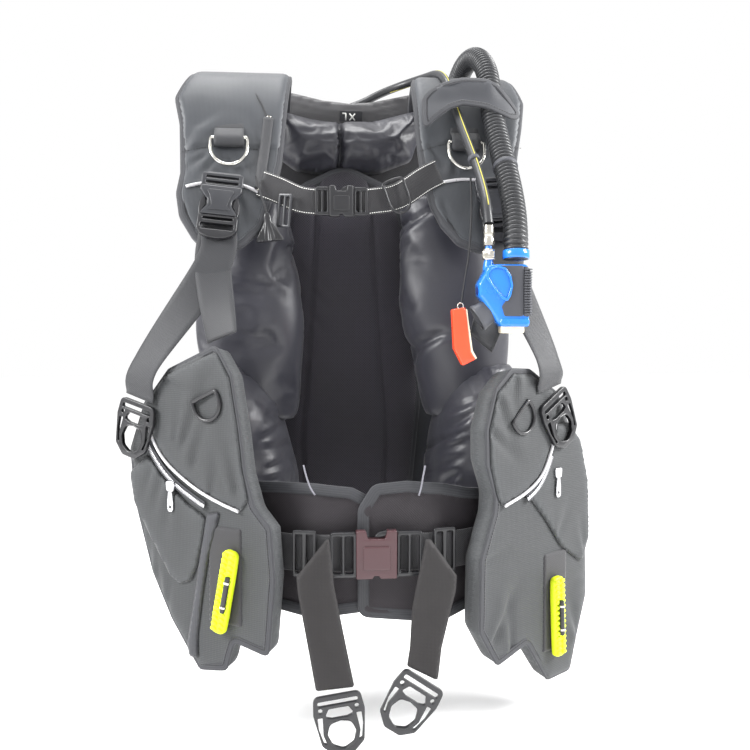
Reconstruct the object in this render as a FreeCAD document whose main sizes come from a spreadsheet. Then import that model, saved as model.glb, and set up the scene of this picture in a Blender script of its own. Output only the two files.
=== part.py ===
import FreeCAD, Part
import math
import os

# Buoyancy compensator vest, in millimetres. The origin is the middle of the tank band on the tank's
# axis. +Z is up, -Y is the side the wearer faces, +X is the wearer's left.

V = FreeCAD.Vector
os.makedirs("parts", exist_ok=True)
doc = FreeCAD.newDocument("BuoyancyVest")

# ---------------------------------------------------------------- driving dimensions
sheet = doc.addObject("Spreadsheet::Sheet", "Sizes")
DIMENSIONS = {
    "tank_radius": 92, "band_width": 50, "band_wall": 3,
    "plate_wall": 10, "plate_height": 330, "rail_depth": 34,
    "cell_depth": 41, "back_pad_depth": 21, "panel_wall": 14, "flap_wall": 4,
    "pocket_depth": 55, "pouch_depth": 48, "pocket_turn": 36,
    "web_wide": 50, "web_chest": 38, "web_wall": 2,
    "ring_wire": 6, "pull_ring_wall": 6, "wide_buckle_wall": 14, "chest_buckle_wall": 11,
    "strap_buckle_wall": 12, "tongue_wall": 5, "cummerbund_wall": 5, "cummerbund_height": 184,
    "hose_diameter": 34, "lp_diameter": 13, "lanyard_diameter": 3,
    "inflator_wall": 30, "whistle_wall": 15, "grip_wall": 33, "cover_wall": 3, "button_tall": 18,
    "handle_wall": 15, "pin_radius": 4, "lever_width": 43, "clearance_gap": 0.5,
}
for row, (alias, value) in enumerate(DIMENSIONS.items(), start=1):
    sheet.set("A%d" % row, alias)
    sheet.set("B%d" % row, str(value))
    sheet.setAlias("B%d" % row, alias)
doc.recompute()


def size(alias):
    """A driving dimension's value, read from the sheet."""
    return float(sheet.get(alias))


GAP = size("clearance_gap")
nodes = {}


# ---------------------------------------------------------------- helpers
def node(label, thing, place=None):
    """Keep a document object as a sub-part under its own label, at its place."""
    thing.Label = label
    if place is not None:
        thing.Placement = place
    nodes[label] = thing
    return thing


def at(x, y, z, turn=0.0, lean=0.0, roll=0.0):
    """A placement: roll about Y, then lean about X, then turn about Z, in degrees."""
    spin = FreeCAD.Rotation(V(0, 0, 1), turn)
    spin = spin.multiply(FreeCAD.Rotation(V(1, 0, 0), lean))
    spin = spin.multiply(FreeCAD.Rotation(V(0, 1, 0), roll))
    return FreeCAD.Placement(V(x, y, z), spin)


def new_body(name):
    return doc.addObject("PartDesign::Body", name + "_body")


def sketch_on(body, role, lift=0.0):
    """A sketch on one of the body's own origin planes, lifted along that plane's normal."""
    plane = next(item for item in body.Origin.OriginFeatures if item.Role == role)
    sketch = body.newObject("Sketcher::SketchObject", "Sketch")
    sketch.AttachmentSupport = [(plane, "")]
    sketch.MapMode = "FlatFace"
    sketch.AttachmentOffset = FreeCAD.Placement(V(0, 0, lift), FreeCAD.Rotation())
    return sketch


def rounded_loop(corners, radius):
    """Lines and tangent arcs of a closed outline whose corners have one radius."""
    points = [V(x, y, 0) for x, y in corners]
    count = len(points)
    entries = []
    for i, corner in enumerate(points):
        before = (points[i - 1] - corner)
        after = (points[(i + 1) % count] - corner)
        half = before.getAngle(after) / 2
        reach = min(radius / math.tan(half), 0.48 * before.Length, 0.48 * after.Length)
        before.normalize()
        after.normalize()
        start = corner + before * reach
        end = corner + after * reach
        bisector = (before + after)
        if bisector.Length < 1e-3 or reach < 1e-3:
            entries.append((start, None, end))
            continue
        bisector.normalize()
        bend = reach * math.tan(half)
        middle = corner + bisector * (reach / math.cos(half) - bend)
        entries.append((start, middle, end))
    edges = []
    for i, (start, middle, end) in enumerate(entries):
        if middle is not None:
            edges.append(Part.Arc(start, middle, end))
        following = entries[(i + 1) % count][0]
        if (following - end).Length > 1e-4:
            edges.append(Part.LineSegment(end, following))
    return edges


def box_corners(x_low, x_high, z_low, z_high):
    return [(x_low, z_low), (x_high, z_low), (x_high, z_high), (x_low, z_high)]


def pad(body, sketch, cell, reverse=False):
    """Pad a sketch by a cell of the sheet."""
    feature = body.newObject("PartDesign::Pad", "Pad")
    feature.Profile = sketch
    feature.setExpression("Length", "Sizes." + cell)
    feature.Reversed = reverse
    return feature


def pocket(body, sketch, length, reverse=False):
    """Cut a sketch into the body by a length or by a cell of the sheet."""
    feature = body.newObject("PartDesign::Pocket", "Pocket")
    feature.Profile = sketch
    if isinstance(length, str):
        feature.setExpression("Length", "Sizes." + length)
    else:
        feature.Length = length
    feature.Reversed = reverse
    return feature


def plate_body(name, loops, cell, role="XZ_Plane"):
    """A body padded from loops of edges: the outline first, then its windows."""
    body = new_body(name)
    sketch = sketch_on(body, role)
    for loop in loops:
        sketch.addGeometry(loop, False)
    pad(body, sketch, cell)
    return body


def soften(body, radius, keep):
    """Round the edges that keep() picks on the body's last feature."""
    doc.recompute()
    last = body.Tip
    names = ["Edge%d" % (i + 1) for i, edge in enumerate(last.Shape.Edges) if keep(edge)]
    fillet = body.newObject("PartDesign::Fillet", "Fillet")
    fillet.Base = (last, names)
    fillet.Radius = radius
    doc.recompute()
    if "Invalid" in fillet.State or fillet.Shape.isNull() or not fillet.Shape.isValid():
        body.removeObject(fillet)
        doc.removeObject(fillet.Name)
        body.Tip = last
        print("fillet left off", body.Name)
    return body


def on_face(axis, value):
    """Picks edges that lie in one plane of the body."""
    def keep(edge):
        return all(abs(getattr(v.Point, axis) - value) < 1e-3 for v in edge.Vertexes)
    return keep


def circle(x, z, radius):
    return [Part.Circle(V(x, z, 0), V(0, 0, 1), radius)]


def loft_body(name, sections):
    """A soft cell lofted upwards through ellipses (z, centre x, centre y, half width, half depth)."""
    body = new_body(name)
    sketches = []
    for z, x, y, half_width, half_depth in sections:
        sketch = sketch_on(body, "XY_Plane", z)
        across = V(x, y + half_depth, 0) if half_depth > half_width else V(x + half_width, y, 0)
        along = V(x - half_width, y, 0) if half_depth > half_width else V(x, y + half_depth, 0)
        sketch.addGeometry(Part.Ellipse(across, along, V(x, y, 0)), False)
        sketches.append(sketch)
    loft = body.newObject("PartDesign::AdditiveLoft", "Loft")
    loft.Profile = sketches[0]
    loft.Sections = sketches[1:]
    return body


def group(label, members):
    """Separate solids that share one node."""
    compound = doc.addObject("Part::Compound", label + "_group")
    compound.Links = members
    return node(label, compound)


def strap(label, stations, wide_cell, across):
    """Flat webbing through the stations; across lists its width direction at each of them."""
    half_wide = size(wide_cell) / 2
    half_wall = size("web_wall") / 2
    points = [V(*p) for p in stations]
    wires = []
    for i, point in enumerate(points):
        side = V(*across[min(i, len(across) - 1)])
        run = points[min(i + 1, len(points) - 1)] - points[max(i - 1, 0)]
        run.normalize()
        side = side - run * side.dot(run)
        side.normalize()
        face = run.cross(side) * half_wall
        side = side * half_wide
        corners = [point + side + face, point - side + face, point - side - face, point + side - face]
        wires.append(Part.makePolygon(corners + corners[:1]))
    feature = doc.addObject("Part::Feature", label)
    feature.Shape = Part.makeLoft(wires, True, True)
    return feature


def cord_tube(label, route, diameter_cell):
    """A cord's tube: straight runs along the route joined by tangent arcs."""
    points = [V(*p) for p in route]
    diameter = size(diameter_cell)
    edges = []
    radii = []
    start = points[0]
    for i in range(1, len(points) - 1):
        back = points[i - 1] - points[i]
        ahead = points[i + 1] - points[i]
        shorter = min(back.Length, ahead.Length)
        back.normalize()
        ahead.normalize()
        turn = math.pi - back.getAngle(ahead)
        reach = 0.45 * shorter
        radii.append(round(reach / math.tan(turn / 2), 1))
        enter = points[i] + back * reach
        leave = points[i] + ahead * reach
        inward = (back + ahead)
        inward.normalize()
        half = (math.pi - turn) / 2
        middle = points[i] + inward * (reach / math.cos(half) - reach * math.tan(half))
        edges.append(Part.LineSegment(start, enter).toShape())
        edges.append(Part.Arc(enter, middle, leave).toShape())
        start = leave
    edges.append(Part.LineSegment(start, points[-1]).toShape())
    wire = Part.Wire(edges)
    section = Part.Wire([Part.Circle(points[0], points[1] - points[0], diameter / 2).toShape()])
    tube = Part.BRepOffsetAPI.MakePipeShell(wire)
    tube.add(section)
    tube.build()
    tube.makeSolid()
    feature = doc.addObject("Part::Feature", label)
    feature.Shape = tube.shape()
    expected = math.pi * (diameter / 2) ** 2 * wire.Length
    print(label, "length", round(wire.Length), "radii", radii,
          "volume ratio", round(feature.Shape.Volume / expected, 4))
    return node(label, feature)


# ---------------------------------------------------------------- back plate, tank band, cam buckle
TANK = size("tank_radius")
BAND_OUTER = TANK + size("band_wall")
PLATE_BACK_Y = -98

band = plate_body("tank_band", [circle(0, 0, TANK), circle(0, 0, BAND_OUTER)], "band_width", "XY_Plane")
node("tank_band", band, at(0, 0, -size("band_width") / 2))

plate_half = [(78, -170), (100, -90), (100, 90), (62, 160)]
plate_outline = plate_half + [(-x, z) for x, z in plate_half[::-1]]
plate_loops = [rounded_loop(plate_outline, 14)]
for slot_z in (-40, 40):
    for side in (-1, 1):
        slot = box_corners(side * 76 - 4, side * 76 + 4, slot_z - 26, slot_z + 26)
        plate_loops.append(rounded_loop(slot, 3))
for hole_z in (-140, 132):
    plate_loops.append(circle(0, hole_z, 5))
back_plate = plate_body("backplate", plate_loops, "plate_wall")
rails = sketch_on(back_plate, "XZ_Plane")
for side in (-1, 1):
    rails.addGeometry(rounded_loop(box_corners(side * 57 - 8, side * 57 + 8, -150, 140), 3), False)
pad(back_plate, rails, "rail_depth", reverse=True)
bore = sketch_on(back_plate, "XY_Plane", -200)
bore.addGeometry(circle(0, -PLATE_BACK_Y, BAND_OUTER + GAP), False)
pocket(back_plate, bore, 400, reverse=True)
node("backplate", back_plate, at(0, PLATE_BACK_Y, 0))

grab_outer = [(-62, 0), (62, 0), (56, 46), (-56, 46)]
grab_inner = [(-46, 9), (46, 9), (42, 32), (-42, 32)]
grab = plate_body("carry_handle", [rounded_loop(grab_outer, 16), rounded_loop(grab_inner, 8)], "plate_wall")
soften(grab, 3, on_face("y", 0))
node("carry_handle", grab, at(0, PLATE_BACK_Y, 160 + GAP))

FRAME_Y = BAND_OUTER + GAP + 4
frame_loops = [rounded_loop(box_corners(-32, 32, -29, 29), 5)]
frame_loops.append(rounded_loop(box_corners(-16, -8, -22, 22), 2))
frame_loops.append(rounded_loop(box_corners(10, 18, -22, 22), 2))
cam_frame = plate_body("cam_buckle_frame", frame_loops, "flap_wall")
for side in (-1, 1):
    lug = sketch_on(cam_frame, "XY_Plane", side * 24 - 1.5)
    lug.addGeometry(rounded_loop(box_corners(-31, -21, -1, 10), 3), False)
    pad(cam_frame, lug, "band_wall")
pin = sketch_on(cam_frame, "XY_Plane", -24)
pin.addGeometry(circle(-26, 5.5, 2), False)
pin_pad = cam_frame.newObject("PartDesign::Pad", "Pin")
pin_pad.Profile = pin
pin_pad.Length = 48
node("cam_buckle_frame", cam_frame, at(0, FRAME_Y, 0))

lever_outline = [(-30.2, 2), (-22, 1.5), (26, 1.5), (33, 6), (33, 9), (24, 6.5), (-18, 6.5), (-23, 10),
                 (-30.2, 9)]
lever = plate_body("cam_buckle_lever", [rounded_loop(lever_outline, 1.5), circle(-26, 5.5, 2.3)],
                   "lever_width", "XY_Plane")
node("cam_buckle_lever", lever, at(0, FRAME_Y, -size("lever_width") / 2))

# ---------------------------------------------------------------- air cell, back pad, neck pillow
CELL_Y = -109
PAD_X = -20
cell_half = [(135, -225), (150, -100), (150, 180), (120, 345)]
cell_outline = cell_half + [(-x, z) for x, z in cell_half[::-1]]
cell = plate_body("air_cell_back", [rounded_loop(cell_outline, 45)], "cell_depth")
soften(cell, 12, on_face("y", -size("cell_depth")))
finger_room = sketch_on(cell, "XZ_Plane")
finger_room.addGeometry(rounded_loop(box_corners(-64, 64, 152, 216), 12), False)
pocket(cell, finger_room, 14, reverse=True)
node("air_cell_back", cell, at(0, CELL_Y, 0))

back_pad_half = [(100, -205), (122, 20), (101, 262), (72, 350)]
back_pad_outline = back_pad_half + [(0, 382)] + [(-x, z) for x, z in back_pad_half[::-1]]
back_pad = plate_body("back_pad", [rounded_loop(back_pad_outline, 42)], "back_pad_depth")
soften(back_pad, 7, on_face("y", -size("back_pad_depth")))
node("back_pad", back_pad, at(PAD_X, CELL_Y - size("cell_depth") - GAP, 0))

pillow_sections = [(-98, -448, -158, 36, 36), (-60, -438, -156, 44, 40), (0, -430, -154, 45, 41),
                   (60, -438, -156, 44, 40), (96, -450, -158, 36, 36)]
pillow = loft_body("air_cell_collar", pillow_sections)
node("air_cell_collar", pillow, FreeCAD.Placement(V(-10, 0, 0), FreeCAD.Rotation(V(0, 1, 0), 90)))

# Each lobe's sections: height, centre x, centre y, half width, half depth.
UPPER_RIGHT = [(318, -156, -212, 40, 36), (240, -162, -222, 56, 54),
               (140, -166, -230, 74, 60), (64, -164, -236, 64, 50)]
LOWER_RIGHT = [(52, -192, -238, 30, 44), (0, -184, -254, 50, 80),
               (-100, -166, -256, 62, 84), (-205, -160, -250, 50, 66)]
UPPER_LEFT = [(318, 120, -212, 48, 36), (240, 140, -224, 78, 52),
              (140, 142, -232, 80, 58), (64, 152, -238, 66, 48)]
LOWER_LEFT = [(52, 186, -238, 30, 44), (0, 178, -254, 50, 80),
              (-100, 162, -256, 62, 84), (-205, 154, -250, 50, 66)]

group("air_cell_right", [loft_body("upper_right", UPPER_RIGHT), loft_body("lower_right", LOWER_RIGHT)])
group("air_cell_left", [loft_body("upper_left", UPPER_LEFT), loft_body("lower_left", LOWER_LEFT)])

# ---------------------------------------------------------------- shoulder panels and hose flap
PANEL_LINE = [(-104, 395), (-112, 466), (-150, 501), (-205, 507), (-255, 460), (-290, 372), (-322, 300),
              (-353, 210)]
PANEL_EDGE = [(-238, 545), (-262, 500), (-277, 460), (-266, 396), (-269, 318), (-250, 252), (-212, 226),
              (-172, 240), (-140, 292), (-130, 322), (-121, 361), (-111, 462), (-104, 540)]
FLAP_LINE = [(-262, 520), (-290, 488), (-303, 456), (-312, 436), (-320, 408)]
FLAP_EDGE = [(88, 414), (87, 466), (112, 484), (145, 492), (185, 492), (214, 473), (232, 450), (226, 433),
             (200, 437), (178, 445), (144, 449), (113, 437)]


def strip(line, wall):
    """The outline of a bent sheet whose outer side follows the line."""
    inner = []
    for i, (a, b) in enumerate(line):
        before = line[max(i - 1, 0)]
        after = line[min(i + 1, len(line) - 1)]
        run = V(after[0] - before[0], after[1] - before[1], 0)
        run.normalize()
        inner.append((a - run.y * wall * turn_side(line), b + run.x * wall * turn_side(line)))
    return list(line) + inner[::-1]


def turn_side(line):
    """+1 or -1: which way the inner side of a bent sheet lies."""
    area = sum(line[i][0] * line[i + 1][1] - line[i + 1][0] * line[i][1] for i in range(-1, len(line) - 1))
    return 1 if area > 0 else -1


def bent_panel(label, line, edge, wall_cell):
    """A sheet bent along a line seen from the side, cut to an edge seen from the front."""
    side_body = new_body(label + "_side")
    side_sketch = sketch_on(side_body, "YZ_Plane", -340)
    side_sketch.addGeometry(rounded_loop(strip(line, size(wall_cell)), 1.5), False)
    side_pad = side_body.newObject("PartDesign::Pad", "Pad")
    side_pad.Profile = side_sketch
    side_pad.Length = 680
    front_body = new_body(label + "_front")
    front_sketch = sketch_on(front_body, "XZ_Plane")
    front_sketch.addGeometry(rounded_loop(edge, 16), False)
    front_pad = front_body.newObject("PartDesign::Pad", "Pad")
    front_pad.Profile = front_sketch
    front_pad.Length = 460
    common = doc.addObject("Part::Common", label + "_common")
    common.Base = side_body
    common.Tool = front_body
    return node(label, common)


bent_panel("shoulder_panel_right", PANEL_LINE, PANEL_EDGE, "panel_wall")
bent_panel("shoulder_panel_left", PANEL_LINE, [(-x - 18, z) for x, z in PANEL_EDGE], "panel_wall")
bent_panel("hose_flap", FLAP_LINE, FLAP_EDGE, "flap_wall")

# ---------------------------------------------------------------- cummerbund and waist belt
CUMMERBUND_LOW = -268
cummerbunds = {
    "cummerbund_right": [(30, -441), (-60, -438), (-105, -418), (-190, -358), (-228, -312)],
    "cummerbund_left": [(-22, -448), (66, -445), (112, -424), (198, -362), (236, -316)],
}
for label, line in cummerbunds.items():
    band_body = plate_body(label, [rounded_loop(strip(line, size("cummerbund_wall")), 1)],
                           "cummerbund_height", "XY_Plane")
    node(label, band_body, at(0, 0, CUMMERBUND_LOW))

WAIST_Z = -177
WAIST_Y = -455.5
UPRIGHT = (0, 0, 1)
belt_right = strap("belt_right", [(-28, -452, WAIST_Z), (-62, -452, WAIST_Z), (-94, -444, WAIST_Z)],
                   "web_wide", [UPRIGHT])
belt_left = strap("belt_left", [(30, -452, WAIST_Z), (66, -452, WAIST_Z), (100, -446, WAIST_Z)],
                  "web_wide", [UPRIGHT])
tail_right_edge = [(-62, -146), (-106, -200), (-105, -222), (-82, -352), (-30, -348), (-56, -212)]
tail_right = plate_body("tail_right", [rounded_loop(tail_right_edge, 3)], "web_wall")
tail_right.Placement = at(0, -484, 0)
group("waist_belt", [belt_right, belt_left, tail_right])
tail_left_edge = [(62, -146), (104, -204), (103, -224), (84, -300), (79, -344), (38, -322), (42, -296),
                  (45, -246), (53, -202)]
node("waist_tail_left", plate_body("waist_tail_left", [rounded_loop(tail_left_edge, 3)], "web_wall"),
     at(0, -484, 0))


# ---------------------------------------------------------------- side release buckles
def webbing_windows(low, high):
    """The two webbing slots of a buckle's frame, between three bars."""
    bar = 3.5
    window = (high - low - 3 * bar) / 2
    return [(low + bar, low + bar + window), (high - bar - window, high - bar)]


def buckle_socket(name, half, tall, wall_cell, reach):
    """The female half, centred on x = 0: a hollow block with a two-bar webbing frame at -x."""
    wall = size(wall_cell)
    loops = [rounded_loop(box_corners(-half - reach, half, -tall, tall), 4)]
    for window_low, window_high in webbing_windows(-half - reach, -half):
        loops.append(rounded_loop(box_corners(window_low, window_high, -tall + 6, tall - 6), 2))
    body = plate_body(name, loops, wall_cell)
    mouth = sketch_on(body, "YZ_Plane", half)
    slot_half = size("tongue_wall") / 2 + GAP
    mouth.addGeometry(rounded_loop(box_corners(-wall / 2 - slot_half, -wall / 2 + slot_half,
                                               -tall + 5, tall - 5), 1), False)
    pocket(body, mouth, 2 * half - 8)
    return body


def buckle_plug(name, half, tall, wall_cell, reach):
    """The male half: a webbing frame at +x and three tongues that enter the socket."""
    wall = size(wall_cell)
    low = half + GAP
    loops = [rounded_loop(box_corners(low, low + reach, -tall, tall), 4)]
    for window_low, window_high in webbing_windows(low, low + reach):
        loops.append(rounded_loop(box_corners(window_low, window_high, -tall + 6, tall - 6), 2))
    body = plate_body(name, loops, wall_cell)
    tongues = sketch_on(body, "XZ_Plane", wall / 2 - size("tongue_wall") / 2)
    for centre in (-tall + 10, 0, tall - 10):
        tongue = box_corners(-half + 12, low + 2, centre - 3.5, centre + 3.5)
        tongues.addGeometry(rounded_loop(tongue, 2), False)
    pad(body, tongues, "tongue_wall")
    return body


WAIST_SPLIT = 27
node("waist_buckle_socket", buckle_socket("waist_buckle_socket", WAIST_SPLIT, 32, "wide_buckle_wall", 34),
     at(0, WAIST_Y, WAIST_Z))
node("waist_buckle_plug", buckle_plug("waist_buckle_plug", WAIST_SPLIT, 32, "wide_buckle_wall", 33.5),
     at(0, WAIST_Y, WAIST_Z))

CHEST = (-37, -335.5, 300)
CHEST_SPLIT = 17
chest_socket = buckle_socket("chest_buckle_socket", CHEST_SPLIT, 22, "chest_buckle_wall", 20)
node("chest_buckle_socket", chest_socket, at(*CHEST))
chest_plug = buckle_plug("chest_buckle_plug", CHEST_SPLIT, 22, "chest_buckle_wall", 20.5)
node("chest_buckle_plug", chest_plug, at(*CHEST))
chest_right_line = [(-144, -324, 323), (-126, -325, 317), (-98, -331, 304), (-74, -333.5, 300),
                    (-50, -333.5, 300)]
chest_left_line = [(-26, -333.5, 300), (2, -333.5, 301), (44, -330, 309), (84, -318, 335), (104, -314, 346)]
chest_right = strap("chest_right", chest_right_line, "web_chest", [UPRIGHT])
chest_left = strap("chest_left", chest_left_line, "web_chest", [UPRIGHT])
group("chest_straps", [chest_right, chest_left])

# Each shoulder strap runs down and forward from its panel: the buckle's own long axis turned by
# STRAP_LEAN about X and by a few degrees sideways.
STRAP_LEAN = -19
STRAP_SIDES = {"right": (-207, -6), "left": (190, 5)}
STRAP_SPLIT = 22


def strap_pose(side):
    """The placement of a shoulder buckle: its x axis runs down the strap, -y is its front."""
    strap_x, sway = STRAP_SIDES[side]
    return at(strap_x, -332, 296, 0, STRAP_LEAN, 90 - sway)


sockets = []
for side in STRAP_SIDES:
    pose = strap_pose(side)
    socket = buckle_socket("socket_" + side, STRAP_SPLIT, 29, "strap_buckle_wall", 20)
    socket.Placement = pose
    sockets.append(socket)
    plug = buckle_plug("plug_" + side, STRAP_SPLIT, 29, "strap_buckle_wall", 26)
    node("shoulder_buckle_plug_" + side, plug, pose)
group("shoulder_buckle_sockets", sockets)

# ---------------------------------------------------------------- pockets and what rides on them
POCKETS = {
    "right": {
        "place": (-232, -405, 0), "turn": -size("pocket_turn"),
        "edge": [(28, 92), (48, 63), (64, -13), (70, -80), (96, -150), (114, -205), (106, -308), (52, -296),
                 (40, -340), (-8, -344), (-60, -285), (-98, -225), (-128, -123), (-133, -52), (-109, 13),
                 (-62, 61)],
        "pouch": (8, 72, -280, -140), "handle": (45, -229, -12),
    },
    "left": {
        "place": (240, -405, 0), "turn": size("pocket_turn"),
        "edge": [(-98, 34), (-115, -13), (-122, -105), (-125, -185), (-125, -283), (-90, -333), (-30, -316),
                 (24, -382), (81, -383), (120, -280), (115, -179), (103, -103), (72, -26), (39, 26),
                 (-29, 61), (-67, 62)],
        "pouch": (2, 62, -344, -195), "handle": (30, -290, 3),
    },
}


def on_pocket(side, u, out, z, tilt=0.0):
    """A placement on a pocket's outer face: u along it, out from it, tilt in its plane."""
    x, y, base = POCKETS[side]["place"]
    turn = math.radians(POCKETS[side]["turn"])
    spot_x = x + u * math.cos(turn) + out * math.sin(turn)
    spot_y = y + u * math.sin(turn) - out * math.cos(turn)
    return at(spot_x, spot_y, base + z, POCKETS[side]["turn"], 0, -tilt)


for side, data in POCKETS.items():
    bag = plate_body("pocket_" + side, [rounded_loop(data["edge"], 14)], "pocket_depth")
    left, right, low, high = data["pouch"]
    pouch_room = sketch_on(bag, "XZ_Plane", size("pocket_depth"))
    room_corners = box_corners(left - GAP, right + GAP, low - GAP, high + GAP)
    pouch_room.addGeometry(rounded_loop(room_corners, 6), False)
    pocket(bag, pouch_room, size("pouch_depth") + GAP)
    node("pocket_" + side, bag, on_pocket(side, 0, -size("pocket_depth"), 0))
    pouch_edge = rounded_loop(box_corners(left, right, low, high), 6)
    pouch = plate_body("weight_pouch_" + side, [pouch_edge], "pouch_depth")
    node("weight_pouch_" + side, pouch, on_pocket(side, 0, -size("pouch_depth") + 1, 0))
    handle_u, handle_z, tilt = data["handle"]
    grip_loops = [rounded_loop(box_corners(-11, 11, -58, 58), 9)]
    grip_loops.append(rounded_loop(box_corners(-5, 5, -26, 26), 4))
    grip = plate_body("pull_" + side, grip_loops, "handle_wall")
    bar = new_body("bar_" + side)
    bar_sketch = sketch_on(bar, "XZ_Plane", 4)
    bar_sketch.addGeometry(rounded_loop(box_corners(-3.5, 3.5, -24, 24), 3), False)
    pad(bar, bar_sketch, "handle_wall")
    for piece in (grip, bar):
        piece.Placement = on_pocket(side, handle_u, 1 + GAP, handle_z, tilt)
    group("pouch_handle_" + side, [grip, bar])

ZIP_PLACES = {"right": (-50, -96), "left": (30, -84)}
slider_edge = [(-6, -7), (6, -7), (8, 7), (-8, 7)]
for side, (zip_u, zip_z) in ZIP_PLACES.items():
    slider = plate_body("zip_slider_" + side, [rounded_loop(slider_edge, 3)], "ring_wire")
    tab = sketch_on(slider, "XZ_Plane", 2)
    tab.addGeometry(rounded_loop(box_corners(-4, 4, -34, -4), 3), False)
    tab.addGeometry(circle(0, -28, 2), False)
    pad(slider, tab, "web_wall")
    node("zip_slider_" + side, slider, on_pocket(side, zip_u, 1, zip_z))


# ---------------------------------------------------------------- rings
def d_ring(name, half_wide, drop, wire_cell):
    """A wire D-ring that hangs down from the middle of its straight bar."""
    wire = size(wire_cell)
    outer = [(-half_wide, wire / 2), (half_wide, wire / 2), (half_wide, -drop * 0.45),
             (half_wide * 0.55, -drop), (-half_wide * 0.55, -drop), (-half_wide, -drop * 0.45)]
    inner_half = half_wide - wire
    inner = [(-inner_half, -wire / 2), (inner_half, -wire / 2), (inner_half, -drop * 0.45),
             (inner_half * 0.5, -drop + wire), (-inner_half * 0.5, -drop + wire), (-inner_half, -drop * 0.45)]
    body = plate_body(name, [rounded_loop(outer, 16), rounded_loop(inner, 12)], wire_cell)
    front_and_back = (on_face("y", 0), on_face("y", -wire))
    return soften(body, wire * 0.36, lambda edge: any(test(edge) for test in front_and_back))


def pull_ring(name):
    """A moulded webbing pull: a bar and slot for the strap, a round finger hole and side windows."""
    outer = [(-31, 4), (31, 4), (34, -20), (28, -62), (12, -76), (-12, -76), (-28, -62), (-34, -20)]
    loops = [rounded_loop(outer, 9)]
    loops.append(rounded_loop(box_corners(-26.5, 26.5, -9, -3), 2.5))
    loops.append(circle(-24, -15, 3))
    loops.append(circle(24, -15, 3))
    loops.append(rounded_loop([(-19, -24), (-13, -14), (13, -14), (19, -24), (10, -27), (-10, -27)], 3))
    finger_half = [(0, -31), (14, -34), (19, -48), (14, -62)]
    finger_hole = finger_half + [(-x, -100 - z) for x, z in finger_half]
    loops.append(rounded_loop(finger_hole, 9))
    side_window = [(29, -24), (22, -24), (24.5, -48), (21, -60), (25, -58), (29, -40)]
    for side in (-1, 1):
        loops.append(rounded_loop([(side * x, z) for x, z in side_window], 1.5))
    return plate_body(name, loops, "pull_ring_wall")


RING_LEAN = -20
for side, ring_x in (("right", -196), ("left", 152)):
    node("shoulder_d_ring_" + side, d_ring("shoulder_ring_" + side, 29, 46, "ring_wire"),
         at(ring_x, -288.5, 395, 0, RING_LEAN))
for side, u, z, tilt in (("right", 10, 30, 24), ("left", -54, 8, 42)):
    pocket_ring = d_ring("pocket_ring_" + side, 25, 36, "ring_wire")
    node("pocket_d_ring_" + side, pocket_ring, on_pocket(side, u, 2, z, tilt))
for side, u, z, tilt in (("right", -106, 14, -14), ("left", 14, 22, 29)):
    node("strap_ring_" + side, pull_ring("pull_" + side), on_pocket(side, u, 3, z, tilt))
for side, x, z, tilt in (("right", -54, -358, 8), ("left", 60, -343, -34)):
    node("waist_ring_" + side, pull_ring("waist_pull_" + side), at(x, -482, z, 0, 0, -tilt))


# ---------------------------------------------------------------- webbing between buckle and pocket
def beside(side, u, out, z):
    """The same spot as on_pocket, as a plain point."""
    spot = on_pocket(side, u, out, z).Base
    return (spot.x, spot.y, spot.z)


def strap_point(side, down, behind):
    """A point down the shoulder strap's line, behind the buckle's middle."""
    spot = strap_pose(side).multVec(V(down, behind, 0))
    return (spot.x, spot.y, spot.z)


ACROSS = (1, 0, 0)
LOWER_ENDS = {
    "right": {"ring": (-103.8, 6, 23.5), "edge": (-88, 9, 72), "load": (20, -22, 108)},
    "left": {"ring": (7, 6, 37), "edge": (-3, 9, 80), "load": (-74, -50, 100)},
}
for side, ends in LOWER_ENDS.items():
    turn = math.radians(POCKETS[side]["turn"])
    pocket_across = (math.cos(turn), math.sin(turn), 0)
    free_stations = [strap_point(side, 24, 3), strap_point(side, 92, 3), beside(side, *ends["edge"]),
                     beside(side, *ends["ring"])]
    free_end = strap("free_" + side, free_stations, "web_wide", [ACROSS, ACROSS, pocket_across])
    load_stations = [strap_point(side, 24, 6.2), strap_point(side, 92, 6.2), beside(side, *ends["load"])]
    load_end = strap("load_" + side, load_stations, "web_wide", [ACROSS, ACROSS, pocket_across])
    group("lower_strap_" + side, [free_end, load_end])

tabs = []
for name, ring_x in (("tab_right", -196), ("tab_left", 152)):
    tabs.append(strap(name, [(ring_x, -275.5, 421), (ring_x, -282, 402)], "web_wide", [ACROSS]))
for side in STRAP_SIDES:
    anchor_line = [strap_point(side, -40, 4), strap_point(side, 10, 4)]
    tabs.append(strap("anchor_" + side, anchor_line, "web_wide", [ACROSS]))
group("webbing_tabs", tabs)

# ---------------------------------------------------------------- inflator
HOSE_FOOT = (200, -425, 210)
INFLATOR = at(HOSE_FOOT[0], HOSE_FOOT[1] + size("inflator_wall") / 2, HOSE_FOOT[2])
inflator_edge = [(-16, -1), (12, -1), (12, -85), (-22, -85), (-28, -77), (-44, -52), (-52, -46), (-52, -28),
                 (-42, -18), (-42, -6), (-22, -6), (-18, -12)]
inflator = plate_body("inflator_body", [rounded_loop(inflator_edge, 3)], "inflator_wall")
foot_well = sketch_on(inflator, "XY_Plane", -85)
foot_well.addGeometry(rounded_loop(box_corners(-17.5, 9.5, -26, -4), 3), False)
pocket(inflator, foot_well, 12, reverse=True)
side_well = sketch_on(inflator, "YZ_Plane", -52)
side_well.addGeometry(circle(-15, -37, 9.5), False)
pocket(inflator, side_well, 9, reverse=True)
nipple = sketch_on(inflator, "XY_Plane", -7)
nipple.addGeometry(circle(-32, -15, 4.6), False)
nipple_pad = inflator.newObject("PartDesign::Pad", "Nipple")
nipple_pad.Profile = nipple
nipple_pad.Length = 33
node("inflator_body", inflator, INFLATOR)

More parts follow.
